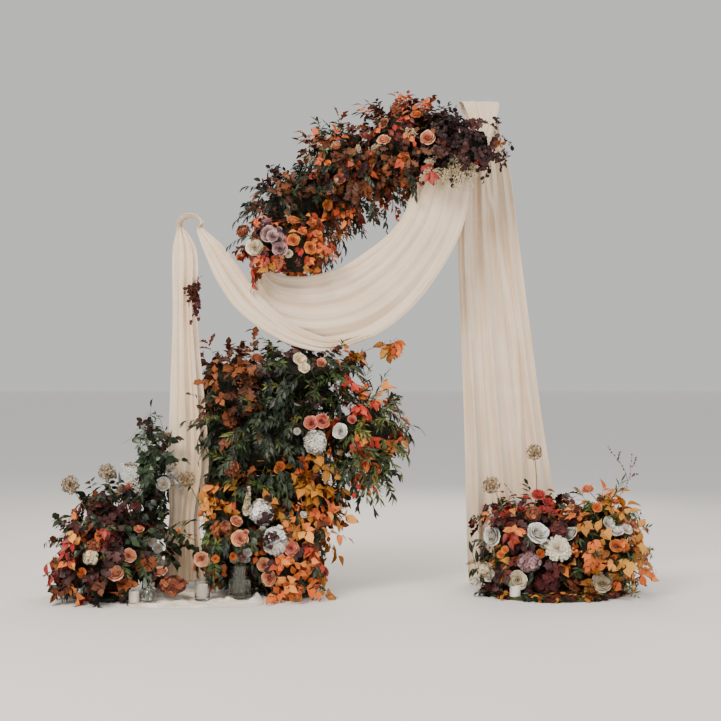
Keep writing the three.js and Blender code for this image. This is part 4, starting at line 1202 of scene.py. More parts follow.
# The rest of the blooms: kind, finish, pixel in the picture, radius or length in millimetres
DRESSING = {
    "garland": ("peach_petal", [
        ("rose", "peach", 385, 139, 42), ("bud_rose", "peach", 337, 146, 40),
        ("rose", "orange", 405, 158, 36), ("rose", "dusky", 365, 136, 38),
        ("plume", "plume", 416, 133, 120), ("plume", "plume", 409, 137, 110),
        ("plume", "plume", 369, 150, 120), ("plume", "plume", 360, 153, 110),
        ("plume", "tan", 350, 155, 120), ("plume", "tan", 352, 168, 110), ("berries", "wine", 395, 172, 6),
        ("rose", "coral", 348, 206, 32), ("cup", "orange", 328, 163, 26), ("berries", "wine", 380, 160, 6),
        ("berries", "rust", 320, 175, 7), ("plume", "plume", 311, 157, 110),
        ("rose", "dusky", 340, 178, 34), ("berries", "wine", 440, 140, 6),
        ("plume", "plume", 338, 186, 110), ("rose", "orange", 416, 114, 34),
        ("rose", "rust", 384, 122, 34), ("rose", "orange", 327, 204, 34),
        ("leaves", "creeper", 428, 160, 86), ("leaves", "creeper", 434, 172, 98)]),
    "garland_drop": ("lilac_petal", [
        ("rose", "lilac", 266, 223, 40), ("rose", "lilac", 272, 235, 36), ("rose", "lilac", 279, 248, 46),
        ("rose", "cream", 256, 246, 52), ("bud_rose", "cream", 288, 253, 30),
        ("rose", "orange", 293, 221, 40), ("rose", "orange", 293, 239, 38),
        ("cup", "orange", 311, 225, 34), ("cup", "orange", 317, 235, 36), ("rose", "orange", 309, 247, 38),
        ("cup", "orange", 302, 232, 30), ("plume", "plume", 284, 212, 110),
        ("berries", "wine", 297, 262, 6), ("plume", "peach", 326, 256, 100)]),
    "cascade": ("coral_petal", [
        ("rose", "peach", 257, 359, 42), ("cup", "cream", 299, 361, 50), ("cup", "cream", 304, 369, 40),
        ("bud_rose", "peach", 321, 364, 36), ("rose", "white", 340, 431, 46),
        ("berries", "orange", 328, 451, 9), ("berries", "wine", 336, 385, 7),
        ("cup", "white", 297, 431, 26), ("berries", "wine", 300, 400, 6),
        ("bud_rose", "coral", 352, 420, 32), ("plume", "tan", 340, 455, 110),
        ("berries", "rust", 240, 385, 7), ("cup", "white", 303, 515, 26), ("cup", "orange", 280, 466, 34),
        ("spike", "cream", 247, 514, 200), ("berries", "rust", 246, 478, 7),
        ("plume", "tan", 238, 484, 110), ("berries", "orange", 296, 508, 8),
        ("rose", "orange", 278, 468, 30)]),
    "left": ("peach_petal", [
        ("rose", "peach", 236, 521, 38), ("rose", "peach", 203, 558, 46), ("rose", "peach", 265, 564, 42),
        ("rose", "peach", 270, 577, 46), ("rose", "coral", 291, 547, 46), ("cup", "white", 168, 474, 62),
        ("cup", "white", 176, 484, 52), ("cup", "white", 163, 484, 50),
        ("hydrangea", "white", 156, 560, 66), ("rose", "peach", 116, 571, 48),
        ("rose", "peach", 162, 572, 42), ("rose", "peach", 131, 485, 34),
        ("bud_rose", "orange", 203, 514, 28), ("bud_rose", "orange", 214, 517, 26),
        ("cup", "orange", 180, 532, 28), ("hydrangea", "lilac", 246, 567, 44),
        ("cup", "orange", 233, 555, 26), ("cup", "orange", 216, 558, 28),
        ("hydrangea", "rust", 95, 546, 50), ("plume", "tan", 118, 496, 120),
        ("cup", "white", 152, 541, 38), ("hydrangea", "cream", 92, 557, 50),
        ("berries", "wine", 120, 540, 7), ("hydrangea", "rust", 225, 528, 48),
        ("cup", "white", 247, 552, 34), ("cup", "peach", 139, 530, 36), ("rose", "peach", 130, 555, 40),
        ("cup", "white", 158, 547, 34), ("cup", "orange", 84, 572, 34), ("cup", "cream", 143, 533, 30),
        ("leaves", "maple", 109, 516, 84), ("leaves", "salal", 146, 513, 84),
        ("leaves", "salal", 150, 500, 80)]),
    "right": ("white_petal", [
        ("rose", "white", 493, 536, 60), ("rose", "white", 536, 533, 66), ("rose", "white", 571, 534, 50),
        ("cup", "red", 538, 497, 50), ("cup", "red", 547, 505, 48), ("cup", "red", 551, 514, 40),
        ("cup", "red", 542, 511, 36), ("cup", "red", 505, 516, 40), ("cup", "red", 521, 511, 36),
        ("hydrangea", "rust", 532, 515, 56), ("bud_rose", "cream", 517, 578, 66),
        ("hydrangea", "cream", 485, 568, 46), ("cup", "white", 478, 580, 40),
        ("cup", "white", 490, 577, 38), ("cup", "orange", 501, 554, 28), ("cup", "orange", 505, 549, 26),
        ("hydrangea", "wine", 545, 583, 88), ("hydrangea", "wine", 557, 530, 60),
        ("cup", "white", 606, 524, 50), ("cup", "white", 616, 533, 46), ("cup", "white", 625, 530, 40),
        ("rose", "peach", 586, 487, 44), ("rose", "orange", 615, 545, 40), ("rose", "cream", 600, 580, 60),
        ("hydrangea", "orange", 622, 545, 46), ("cup", "orange", 596, 508, 36),
        ("plume", "tan", 578, 492, 120), ("berries", "orange", 575, 552, 8),
        ("berries", "wine", 513, 560, 7), ("cup", "orange", 539, 553, 32), ("cup", "peach", 630, 526, 38),
        ("cup", "orange", 614, 503, 34), ("leaves", "amber", 583, 526, 88),
        ("leaves", "orange", 590, 541, 84), ("leaves", "fern", 581, 541, 90)]),
}

# Blooms on the sides and backs of the masses, which the picture doesn't show
FILL = (("rose", "peach", 40), ("bud_rose", "orange", 32), ("rose", "white", 42), ("berries", "wine", 6),
        ("plume", "tan", 110), ("rose", "dusky", 36), ("hydrangea", "rust", 48), ("cup", "cream", 30),
        ("bud_rose", "coral", 32), ("berries", "rust", 7))
FILL_PER_SQUARE_METRE = 6.5
# Half the width that a kind takes, as a share of its size
WIDTHS = {"plume": 0.22, "berries": 4.0, "spike": 0.16, "leaves": 0.6}
seated = {name: [(kind, finish, *seat_on(px, py), size) for kind, finish, px, py, size in entries]
          for name, (slot, entries) in DRESSING.items()}
seated["back"] = []
for name in MASSES:
    places, out = exposed(f"{name}_foliage", FILL_PER_SQUARE_METRE, 90)
    behind = out[:, 1] > -0.12
    for place, way in zip(places[behind], out[behind]):
        kind, finish, size = FILL[rng.integers(len(FILL))]
        seated["back"].append((kind, finish, place, way, size))

# What leaves must not lie over: where each bloom and vessel is, the way it is seen from, and its half width
OPEN_AT, OPEN_WAY, OPEN_WIDTH = [], [], []
for name, entries in seated.items():
    for kind, _, place, way, size in entries:
        for look in (way, unit(EYE - place)):
            OPEN_AT.append(place)
            OPEN_WAY.append(way if name == "back" else look)
            OPEN_WIDTH.append(size * WIDTHS.get(kind, 1.0))
for name in BLOOM_SOLIDS:
    low, high = span_of(name)
    for look in (unit(EYE - (low + high) / 2), np.array((0, -1.0, 0))):
        OPEN_AT.append((low + high) / 2)
        OPEN_WAY.append(look)
        OPEN_WIDTH.append((high - low)[[0, 2]].mean() / 2)
# Glasses and candles: the place across and in depth, the radius and the top
VESSELS = {
    "votive": (-1033, -560, 50, 139), "vase": (-796, -490, 75, 228), "bud_vase": (-1369, -640, 48, 101),
    "left_pillar": (-1462, -640, 34, 83), "right_pillar": (1018, -490, 35, 91),
}
for x, y, radius, top in VESSELS.values():
    for z in np.arange(0.6 * radius, top, radius):
        OPEN_AT.append((x, y, z))
        OPEN_WAY.append(unit(EYE - (x, y, z)))
        OPEN_WIDTH.append(1.15 * radius)
OPEN_AT, OPEN_WAY, OPEN_WIDTH = np.array(OPEN_AT), np.array(OPEN_WAY), np.array(OPEN_WIDTH)
# Parts of the picture where the cloth shows and only a few leaves hang before it: corners in pixels, the
# share of leaves kept, and how far back this holds
BARE = (
    (171, 498, 203, 590, 0.2, -150), (166, 498, 171, 590, 0.55, -150), (130, 590, 262, 612, 0.0, -150),
    (172, 400, 196, 498, 0.5, -150), (262, 273, 345, 330, 0.0, -150), (200, 225, 249, 330, 0.1, -150),
    (458, 90, 512, 115, 0.0, 80), (470, 115, 512, 130, 0.2, 80), (488, 130, 512, 172, 0.5, 400),
    (188, 350, 208, 372, 0.0, -150), (464, 184, 478, 202, 0.0, 400), (450, 500, 468, 556, 0.0, 400),
    (440, 556, 466, 600, 0.0, 400), (466, 556, 478, 592, 0.2, 400), (100, 400, 136, 480, 0.08, 400),
    (136, 440, 145, 470, 0.5, 400), (310, 322, 338, 342, 0.0, 400), (514, 85, 560, 200, 0.0, 400),
    (430, 470, 450, 600, 0.1, 400), (450, 470, 462, 600, 0.4, 400), (462, 480, 480, 560, 0.15, 400),
    (480, 480, 490, 556, 0.45, 400), (404, 375, 413, 520, 0.55, 400), (413, 375, 450, 520, 0.12, 400),
    (326, 525, 352, 604, 0.25, 400), (305, 582, 326, 604, 0.35, 400))


for name, (slot, mix, seeds) in MASSES.items():
    leafage = Heap()
    # Long twigs that stand out, and short ones that lie over the heart
    for flat, shorter, share in ((0.0, 1.0, 1.0), (0.75, 0.7, 0.8)):
        small = SMALLER.get(name, 1.0)
        roots, out = exposed(f"{name}_foliage", PER_SQUARE_METRE * FULLER.get(name, 1.0) * share / small)
        kinds = choose(roots, out, mix, seeds)
        for kind in sorted(set(kinds)):
            here = kinds == kind
            sprigs(leafage, kind, roots[here], out[here], LEANS.get(name, (0, 0, 0)),
                   shorter * SHORTER.get(name, 1.0), flat, small, PAINTED_SHADE_BY_MASS.get(name, 0.0))
    leafage.made(f"{name}_leaves", slot, [f"{name}_foliage"])

# Blooms of their own, in the place of their solids

FRONT = (0.05, -1.0, 0.25)


def head(name, slot, make, *choices):
    """A bloom that stands for a solid: make draws it from the solid's middle and half size."""
    low, high = span_of(name)
    heap = Heap()
    make(heap, (low + high) / 2, (high - low) / 2, *choices)
    heap.made(f"{name}_petals", slot, [name])


def roses(heap, middle, half, finish, *offsets):
    """Roses with a bud beside them: shares of the half width and height, a size and a turn to the right."""
    for dx, dz, share, turn in offsets:
        place = middle + (dx * half[0], -0.1 * half[1], dz * half[2])
        bloom(heap, "rose", finish, place, (turn, -1.0, 0.3), half[2] * share, 0.45)
        stalk(heap, place + (0, 20, -10), place + (0, 130, -60), 3.0)
    place = middle + half * (0.55, -0.2, 0.62)
    bloom(heap, "bud_rose", finish, place, (0.3, -0.8, 0.5), half[2] * 0.34, 0.35)


def hydrangea(heap, middle, half, finish, florets, tone=0.55, size=0.27, lumpy=0.12):
    """A head of florets of one finish, on a short stem."""
    head_of_florets(heap, finish, middle, FRONT, half * (1 - 0.6 * lumpy), florets, size, tone, lumpy)
    stalk(heap, middle, middle + (0, 150, -90), 4.0)


def crossed_hydrangea(heap, middle, half, *ways):
    """White florets, with dark leaves that lie across them in the ways given."""
    head_of_florets(heap, "white", middle, FRONT, half * 0.90, 150, 0.26, 0.6, 0.2)
    way = unit(np.array(ways))
    across, along = frames(way, rng.uniform(0.6, 2.2, len(way)))
    place = middle + way * half * 1.04 - along * 24
    tile(heap, LEAVES["cotinus"], place, across, along, way, rng.uniform(0.75, 1.0, len(way)),
         rng.uniform(0.1, 0.6, len(way)), "cotinus", rng.uniform(1.5, 3.0, len(way)))


def white_dahlia(heap, middle, half):
    """Two open dahlias and a bud: shares of the half size, the way each faces, its size and its tone."""
    for kind, offset, facing, share, tone in (
            ("dahlia", (0, -0.15, 0), (0.15, -1.0, 0.35), 1.0, 0.75),
            ("dahlia", (0.42, 0.25, -0.15), (0.8, -0.8, 0.3), 0.72, 0.7),
            ("bud_rose", (-0.68, 0.0, 0.3), (-0.7, -0.8, 0.4), 0.36, 0.6)):
        bloom(heap, kind, "cream", middle + half * offset, facing, half[2] * share, tone)
    stalk(heap, middle, middle + (-30, 140, -120), 4.0)


def plumes(heap, middle, half):
    """A spray of plumes: shares of the half width and height, the way to the right and up, and the length."""
    for dx, dz, wx, wz, length in (
            (-0.8, 0.5, -0.5, -0.6, 120), (-0.5, 0.7, -0.1, -0.9, 150), (-0.2, 0.75, 0.2, -1.0, 165),
            (0.1, 0.8, 0.5, -0.8, 150), (0.4, 0.7, 0.9, -0.5, 140), (-0.35, 0.3, -0.6, -0.5, 120),
            (0.0, 0.4, 0.0, -0.8, 120), (0.45, 0.3, 0.6, -0.5, 110), (-0.6, 0.9, -0.7, 0.0, 110),
            (0.25, 1.0, 0.5, 0.1, 120), (0.7, 0.2, 1.0, -0.35, 150), (0.85, -0.1, 0.7, -0.8, 130),
            (0.9, 0.5, 1.1, 0.0, 130), (-0.2, -0.1, 0.0, -0.9, 130), (0.4, -0.2, 0.3, -0.9, 130),
            (-0.9, 0.0, -0.7, -0.5, 110), (0.1, 0.3, -0.2, -0.6, 120)):
        place = middle + half * (dx, 0.3 - 0.5 * (dx > 0.35), dz) * 0.9
        plume(heap, place, (wx, -0.55, wz + 0.25), length * 0.95, 40, branches=28)
        stalk(heap, place, place + (0, 110, 40), 1.8)


head("rose_peach_left", "peach_petal", roses, "peach", (-0.05, -0.05, 0.84, 0.1))
head("rose_peach_garland", "peach_petal", roses, "peach", (-0.1, -0.05, 0.84, -0.2))
head("rose_coral_cascade", "coral_petal", roses, "coral", (-0.48, -0.1, 0.78, -0.25), (0.42, 0.1, 0.80, 0.2))
head("rose_lilac_garland", "lilac_petal", roses, "lilac", (-0.38, 0.25, 0.80, -0.3),
     (0.40, -0.28, 0.74, 0.25))
head("hydrangea_cascade", "white_petal", hydrangea, "white", 150, 0.5)
head("hydrangea_left_upper", "white_petal", crossed_hydrangea, (0.75, -0.8, -0.2), (0.45, -1, -0.35),
     (0.2, -1, -0.6), (0.6, -0.8, -0.65), (0.3, -1, -0.05), (-0.1, -0.9, -0.8), (0.9, -0.6, 0.15))
head("hydrangea_left_lower", "white_petal", crossed_hydrangea, (-0.7, -0.8, 0.3), (-0.4, -1, 0.45),
     (-0.1, -1, 0.6), (-0.55, -1, 0.05), (-0.2, -1, 0.2), (-0.8, -0.7, -0.1), (0.1, -1, 0.35),
     (-0.35, -1, -0.3))
head("hydrangea_left_rust", "rust_petal", hydrangea, "rust", 200, 0.3, 0.21, 0.3)
head("hydrangea_right_lilac", "lilac_petal", hydrangea, "lilac", 120, 0.6)
head("hydrangea_garland", "white_petal", plumes)
head("dahlia_right_white", "white_petal", white_dahlia)

# Dried alliums: the middle of each globe, its radius, the foot of its stem, and its finish
SEED_HEADS = {
    "allium_left_outer": ((-1940, -400, 742), 66, (-1740, -420, 380), "tan"),
    "allium_left_inner": ((-1697, -400, 828), 62, (-1660, -420, 420), "tan"),
    "allium_left_by_cloth": ((-1159, -420, 782), 60, (-1010, -420, 400), "tan"),
    "allium_left_brown": ((-855, -450, 858), 62, (-850, -420, 420), "rust"),
    "allium_right_low": ((885, -300, 732), 66, (1010, -270, 420), "tan"),
    "allium_right_tall": ((1207, -90, 945), 58, (1190, -150, 480), "tan"),
}
for name, (at, radius, foot, finish) in SEED_HEADS.items():
    globe = Heap()
    seed_globe(globe, at, radius * 1.04, foot, finish)
    globe.made(f"{name}_head", "dried_seed", [name])


def grow(heap, kind, finish, place, out, size):
    """One bloom, spray of leaves, plume, spike or bunch of berries, with its stem in the mass."""
    facing = unit(out * 0.7 + (0, -0.25, 0.3) + 0.2 * rng.normal(size=3))
    if kind == "plume":
        plume(heap, place - out * 20, out + 0.35 * UP + 0.3 * rng.normal(size=3), size, 26, finish)
        stalk(heap, place - out * 15, place - out * 120, 1.8)
    elif kind == "berries":
        berries(heap, place + out * 22, 15, size, finish)
        stalk(heap, place + out * 22, place - out * 110, 1.6, "brown_twig")
    elif kind == "leaves":
        along = unit(np.array([(-0.5, -0.3, -0.8), (0.25, -0.4, -1.0), (0.9, -0.3, -0.5)]))
        up = unit(np.cross(along, np.cross(facing, along)))
        tile(heap, LEAVES[finish], np.tile(place + out * 50, (3, 1)), np.cross(along, up), along, up,
             size / 80 * np.array((0.8, 1.0, 0.85)), 0.45, finish)
        stalk(heap, place + out * 52, place - out * 60, 1.8, "brown_twig")
    elif kind == "spike":
        spike(heap, place + out * 12, (0.12, -0.25, 1.0), size, 22, finish, 22)
        stalk(heap, place + out * 12, place - out * 120, 2.6)
    elif kind == "hydrangea":
        head_of_florets(heap, finish, place + out * size * 0.15, facing, size, 110, 0.25, 0.42, 0.2)
        stalk(heap, place, place - out * 130, 3.5)
    else:
        centre = place + out * size * (0.35 if kind in ("rose", "bud_rose") else 0.15)
        bloom(heap, kind, finish, centre, facing, size, rng.uniform(0.4, 0.6))
        if kind == "cup":
            heart = "orange" if finish in ("white", "cream") else "wine"
            bloom(heap, "ball", heart, centre, facing, 0.16 * size, 0.6)
        stalk(heap, centre - facing * size * 0.3, place - out * 120, 2.8)


for name, entries in seated.items():
    heap = Heap()
    for entry in entries:
        grow(heap, *entry)
    heap.made(f"{name}_dressing", DRESSING[name][0] if name in DRESSING else "peach_petal")

# Moss: the hearts of the masses, the sleeves that carry them, and the mat on the right board


def moss_surface(name, deep, high):
    """Matt moss: strands 1 to 2 mm thick that lie in clumps 20 to 40 mm across."""
    made, tree, shader = surface(name, Roughness=0.95)
    coords = node(tree, "ShaderNodeTexCoord").outputs
    clumps = node(tree, "ShaderNodeTexNoise", Vector=coords["Object"], Scale=32.0, Detail=4.0)
    strands = node(tree, "ShaderNodeTexNoise", Vector=coords["Object"], Scale=420.0, Detail=3.0,
                   Distortion=2.0)
    below, above = (ramp(tree, clumps, [(0.35, pair[0]), (0.65, pair[1])]) for pair in (deep, high))
    blend = node(tree, "ShaderNodeMix", {"data_type": "RGBA"}, _0=strands, _6=below, _7=above)
    rise = node(tree, "ShaderNodeMath", {"operation": "MULTIPLY_ADD"}, _0=strands, _1=0.4, _2=clumps)
    bump = node(tree, "ShaderNodeBump", Strength=0.9, Distance=0.006, Height=rise)
    node(tree, shader, Base_Color=blend.outputs[2], Normal=bump)
    return made


# Almost black in the hearts, as painted shade so that the gaps between the leaves read as depth, and olive where
# it shows
painted_shade_moss = moss_surface("packing moss, near-black with painted shade", ("080a05", "17180b"), ("15140a", "322f18"))
moss = moss_surface("dried sheet moss", ("1c1e0e", "3a3a1c"), ("46421f", "77703c"))


def mossed(name, source, voxel, inward, clump, finish):
    """A mossy copy of a solid: remeshed, drawn in and lumpy."""
    piece = blank()
    corners = SHAPES[source].reshape(-1, 3)
    piece.data.from_pydata(site(corners).tolist(), [], np.arange(len(corners)).reshape(-1, 3).tolist())
    bpy.ops.object.mode_set(mode="EDIT")
    bpy.ops.mesh.select_all(action="SELECT")
    bpy.ops.mesh.remove_doubles(threshold=0.00002)
    bpy.ops.object.mode_set(mode="OBJECT")
    remesh = piece.modifiers.new("remesh", "REMESH")
    remesh.mode = "VOXEL"
    remesh.voxel_size = voxel / 1000
    bpy.ops.object.modifier_apply(modifier="remesh")
    mesh = piece.data
    co = np.empty(len(mesh.vertices) * 3)
    mesh.vertices.foreach_get("co", co)
    co = co.reshape(-1, 3) * 1000 + SEAT
    normal = np.array([v.normal for v in mesh.vertices])
    lumps = np.array([noise.noise(Vector(p) / 38.0) + 0.5 * noise.noise(Vector(p) / 16.0) for p in co])
    moved = co + normal * (clump * lumps - inward)[:, None]
    # Two hearts are drawn in from what the picture shows bare
    if source == "right_bank_foliage":
        moved[:, 0] = np.maximum(moved[:, 0], 950 + 0.25 * (moved[:, 0] - 950))
    if source == "garland_tip_foliage":
        moved[:, 0] = np.minimum(moved[:, 0], 850 + 0.3 * (moved[:, 0] - 850))
        moved[:, 2] -= np.clip((moved[:, 0] - 600) / 200, 0, 1) * 56
    if finish is moss:
        moved = np.where(in_tree(moved, -2)[:, None], co, moved)
    moved[:, 2] = np.maximum(moved[:, 2], 0.6)
    mesh.vertices.foreach_set("co", site(moved).ravel())
    mesh.update()
    bpy.ops.object.shade_smooth()
    return finished(settled(piece, name), [], [finish])


for name in MASSES:
    low, high = span_of(f"{name}_foliage")
    heart = (0.6 if name == "left_column" else 0.42) * (high - low).min() / 2
    mossed(f"{name}_moss", f"{name}_foliage", 24, min(78, heart), 18, painted_shade_moss)
for name in ("limb_sleeve_outer", "limb_sleeve_inner", "trunk_sleeve_lower", "trunk_sleeve_upper"):
    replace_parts(mossed(f"{name}_moss", name, 15, 1.5, 7, moss), name)

# Galvanised netting that binds the sleeves' moss: 1 mm wire in six-sided cells 50 mm across
wire = speckled("galvanised wire netting", 300.0, 2.0, [(0.35, "6f716c"), (0.65, "a6a8a2")],
                Metallic=0.85, Roughness=0.5)
CELL, WIRE_R = 50.0, 0.9


def hexagons(wide, high):
    """The wires of six-sided netting over a flat of that size, as pairs of points."""
    side = CELL / math.sqrt(3)
    wires = []
    for j in range(int(high / (1.5 * side))):
        for i in range(int(wide / CELL)):
            x, y = (i + 0.5 * (j % 2)) * CELL, j * 1.5 * side
            top, over = (x, y + side), y + 1.5 * side
            wires += [((x, y), top), (top, (x + CELL / 2, over)), (top, (x - CELL / 2, over))]
    wires = np.array(wires)
    keep = (wires[..., 0] >= 0).all(1) & (wires[..., 0] <= wide).all(1) & (wires[..., 1] <= high).all(1)
    return wires[keep]


BACK_GAP, SLEEVE_TOP, TRUNK_NET_R = math.radians(65), 1560.0, 410.0
trunk_net = Heap()
wires = hexagons((2 * math.pi - 2 * BACK_GAP) * TRUNK_NET_R, SLEEVE_TOP - 6)
turn = math.pi / 2 + BACK_GAP + wires[..., 0] / TRUNK_NET_R
ends = [TRUNK_X + TRUNK_NET_R * np.cos(turn), TRUNK_Y + TRUNK_NET_R * np.sin(turn), wires[..., 1] + 3]
tubes(trunk_net, np.stack(ends, -1), WIRE_R, 0.5)
trunk_net.made("trunk_netting", "moss", mats=[wire])

LIMB_NET_R, sleeve_line = 140.0, LIMB_LINE[2:9]


def on_sleeve(step):
    return np.stack([np.interp(step, np.arange(7), sleeve_line[:, k]) for k in range(3)], -1)


limb_net = Heap()
run = np.linalg.norm(np.diff(sleeve_line, axis=0), axis=1).sum()
wires = hexagons(2 * math.pi * LIMB_NET_R, run)
turn = wires[..., 0] / LIMB_NET_R
step = np.interp(wires[..., 1] / run, np.linspace(0, 1, 200), steps_by_length(sleeve_line, 200))
ahead = unit(on_sleeve(step + 0.3) - on_sleeve(step - 0.3))
side = unit(np.cross(UP, ahead))
round_limb = np.cos(turn)[..., None] * side + np.sin(turn)[..., None] * np.cross(ahead, side)
tubes(limb_net, on_sleeve(step) + LIMB_NET_R * round_limb, WIRE_R, 0.5)
limb_net.made("limb_netting", "moss", mats=[wire])

# Jute: a soft three-strand twist, hairy and matt
jute = speckled("twisted jute cord", 600.0, 3.0, [(0.3, "6f5230"), (0.7, "b3925f")], (0.6, 0.001),
                Roughness=0.92)
for name, height in (("trunk_tie_low", 390.0), ("trunk_tie_high", 1170.0)):
    tie = Heap()
    turn = math.pi / 2 + np.linspace(-1, 1, 150) * math.radians(67)
    out = np.stack([np.cos(turn), np.sin(turn), np.zeros(150)], -1)
    centre = np.array((TRUNK_X, TRUNK_Y, height)) + out * (TRUNK_R + 18)
    for strand in range(3):
        twist = 2 * math.pi * (np.arange(150) / 4.6 + strand / 3)
        line = centre + 3.3 * (np.cos(twist)[:, None] * out + np.sin(twist)[:, None] * UP)
        tubes(tie, line[None], 3.4, 0.5, sides=7)
    for end in (0, -1):
        knot = centre[end] + 9 * unit(rng.normal(size=(6, 3)))
        loop = np.concatenate([knot, knot[:1] + (0, 0, -22)])
        tubes(tie, curve(loop, np.linspace(0, 6, 40))[None], 3.2, 0.5, sides=6)
    tie.made(f"{name}_cord", "jute", [name], [jute])

# Base boards: plywood cut to an oval and painted, with the strokes of the brush along them
board_paint, tree, shader = surface("plywood, brushed with dark green paint", Roughness=0.6)
coords = node(tree, "ShaderNodeTexCoord").outputs
brush = node(tree, "ShaderNodeMapping", Vector=coords["Object"], Scale=(2.0, 40.0, 40.0))
stroke = node(tree, "ShaderNodeTexNoise", Vector=brush, Scale=9.0, Detail=4.0)
bump = node(tree, "ShaderNodeBump", Strength=0.25, Distance=0.001, Height=stroke)
node(tree, shader, Base_Color=ramp(tree, stroke, [(0.3, "1f281c"), (0.7, "323d2b")]), Normal=bump)
for name in ("left_base_board", "centre_base_board", "right_base_board"):
    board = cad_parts[name]
    board.data.materials.clear()
    board.data.materials.append(board_paint)


def disc_of(a, b):
    """A square from -1 to 1 drawn into a disc."""
    return np.stack([a * np.sqrt(1 - b**2 / 2), b * np.sqrt(1 - a**2 / 2)], -1)


# The moss mat on the right board
BOARD_X, BOARD_Y, BOARD_WIDE, BOARD_DEEP = 1300, -270, 466, 336
CANDLE_X, CANDLE_Y, CANDLE_FOOT = *VESSELS["right_pillar"][:2], 18.3
deselect()
bpy.ops.mesh.primitive_grid_add(x_subdivisions=90, y_subdivisions=66, size=2)
mat = bpy.context.object
disc = disc_of(*np.array([v.co for v in mat.data.vertices])[:, :2].T)
rim = np.hypot(disc[:, 0], disc[:, 1])
turn = np.arctan2(disc[:, 1], disc[:, 0])
ragged = noise_at([(3 * math.cos(a), 3 * math.sin(a), 0.5) for a in turn])
spread = 1.0 + 0.05 * ragged * rim**2
x, y = BOARD_X + BOARD_WIDE * disc[:, 0] * spread, BOARD_Y + BOARD_DEEP * disc[:, 1] * spread
one = np.ones(len(x))
clumps = noise_at(np.stack([x / 30, y / 30, one], -1))
clumps += 0.6 * noise_at(np.stack([x / 12, y / 12, 4 * one], -1))
height = np.where(rim > 0.97, 8, 24 + 5 * clumps)
height[rim > 0.995] = 2
by_candle = np.hypot(x - CANDLE_X, y - CANDLE_Y) < 42
height[by_candle] = np.minimum(height[by_candle], CANDLE_FOOT - 0.2)
mat.data.vertices.foreach_set("co", site(np.stack([x, y, height], -1)).ravel())
mat.data.update()
thick = mat.modifiers.new("thickness", "SOLIDIFY")
thick.thickness = 0.005
thick.offset = -1
apply_all(mat)
bpy.ops.object.shade_smooth()
finished(settled(mat, "right_board_moss_mat"), [], [moss])

# The tail of the voile on the ground

POOL_EDGE = [(-1500, -640), (-1440, -790), (-1180, -805), (-880, -790), (-655, -735), (-630, -560),
             (-690, -405), (-860, -385), (-990, -330), (-1040, -190), (-1370, -170), (-1430, -500)]
POOL_HEART = np.array((-1130.0, -540.0))
ring = np.array(POOL_EDGE, float)
closed = np.vstack([ring[-1], ring, ring[0], ring[1]])
edge = curve(np.column_stack([closed, np.zeros(len(closed))]), np.linspace(1, len(ring) + 1, 400))[:, :2]
edge_turn = np.arctan2(*(edge - POOL_HEART).T[::-1])
edge_reach = np.linalg.norm(edge - POOL_HEART, axis=1)
order = np.argsort(edge_turn)
disc = disc_of(*np.meshgrid(np.linspace(-1, 1, 111), np.linspace(-1, 1, 111)))
turn = np.arctan2(disc[..., 1], disc[..., 0])
reach = np.interp(turn, edge_turn[order], edge_reach[order], period=2 * np.pi)
ragged = noise_at([(5 * math.cos(t), 5 * math.sin(t), 2.0) for t in turn.ravel()]).reshape(turn.shape)
laid = POOL_HEART + disc * (reach * (0.995 + 0.035 * np.minimum(ragged, 0.2)))[..., None]
x, y = laid[..., 0], laid[..., 1]
one = np.ones(x.shape)
warp, crease = (noise_at(np.stack([x / wide, y / deep, place * one], -1)) for wide, deep, place in (
    (260, 170, 3.0), (90, 60, 7.0)))
rim = np.hypot(disc[..., 0], disc[..., 1])
along = y / 19 + 4.6 * warp + x / 240
strong = np.clip(0.30 + 1.5 * crease + 0.5 * np.sin(x / 120 + 2 * warp), 0, 1.1)
folds = (1 - np.abs(np.sin(along))) ** 1.5 * strong
folds += (1 - np.abs(np.sin(x / 52 + 3.4 * warp + y / 120))) ** 2.0 * np.clip(0.10 + 1.3 * warp, 0, 0.8)
height = 2.0 + (17 + 24 * np.clip((y + 620) / 170, 0, 1)) * folds + 2.5 * crease
height *= np.clip((1 - rim) * (16 + 10 * crease), 0.12, 1)
# It lies flat under the glasses and candles that stand on it
for name in ("votive", "vase", "bud_vase", "left_pillar"):
    foot_x, foot_y, radius, _ = VESSELS[name]
    gone = np.clip((np.hypot(x - foot_x, y - foot_y) - radius - 4) / 36, 0, 1)
    height = np.minimum(height, 6.5 + 40 * gone**1.3)
ground_pool = cloth("ground_pool_voile", np.dstack([x, y, np.clip(height, 1.4, 44)]))
finished(ground_pool, ["ground_pool_cloth"], [white_voile])

# Glasses and candles

# Clear glass: slight waves from blowing show as soft ripples in the gloss
glass, tree, shader = surface("clear soda glass, blown", Base_Color=linear("fbfdfb"),
                              Transmission_Weight=1.0, IOR=1.5)
coords = node(tree, "ShaderNodeTexCoord").outputs
ripple = node(tree, "ShaderNodeTexNoise", Vector=coords["Object"], Scale=40.0, Detail=1.0)
smear = node(tree, "ShaderNodeTexNoise", Vector=coords["Object"], Scale=15.0, Detail=3.0)
node(tree, shader, Roughness=node(tree, "ShaderNodeMapRange", Value=smear, To_Min=0.02, To_Max=0.12),
     Normal=node(tree, "ShaderNodeBump", Strength=0.08, Distance=0.002, Height=ripple))
# Still water, with barely a ripple
water, tree, shader = surface("water", Base_Color=linear("f6faf3"), Transmission_Weight=1.0,
                              Roughness=0.01, IOR=1.33)
still = node(tree, "ShaderNodeTexNoise", Scale=20.0)
node(tree, shader, Normal=node(tree, "ShaderNodeBump", Strength=0.03, Distance=0.001, Height=still))
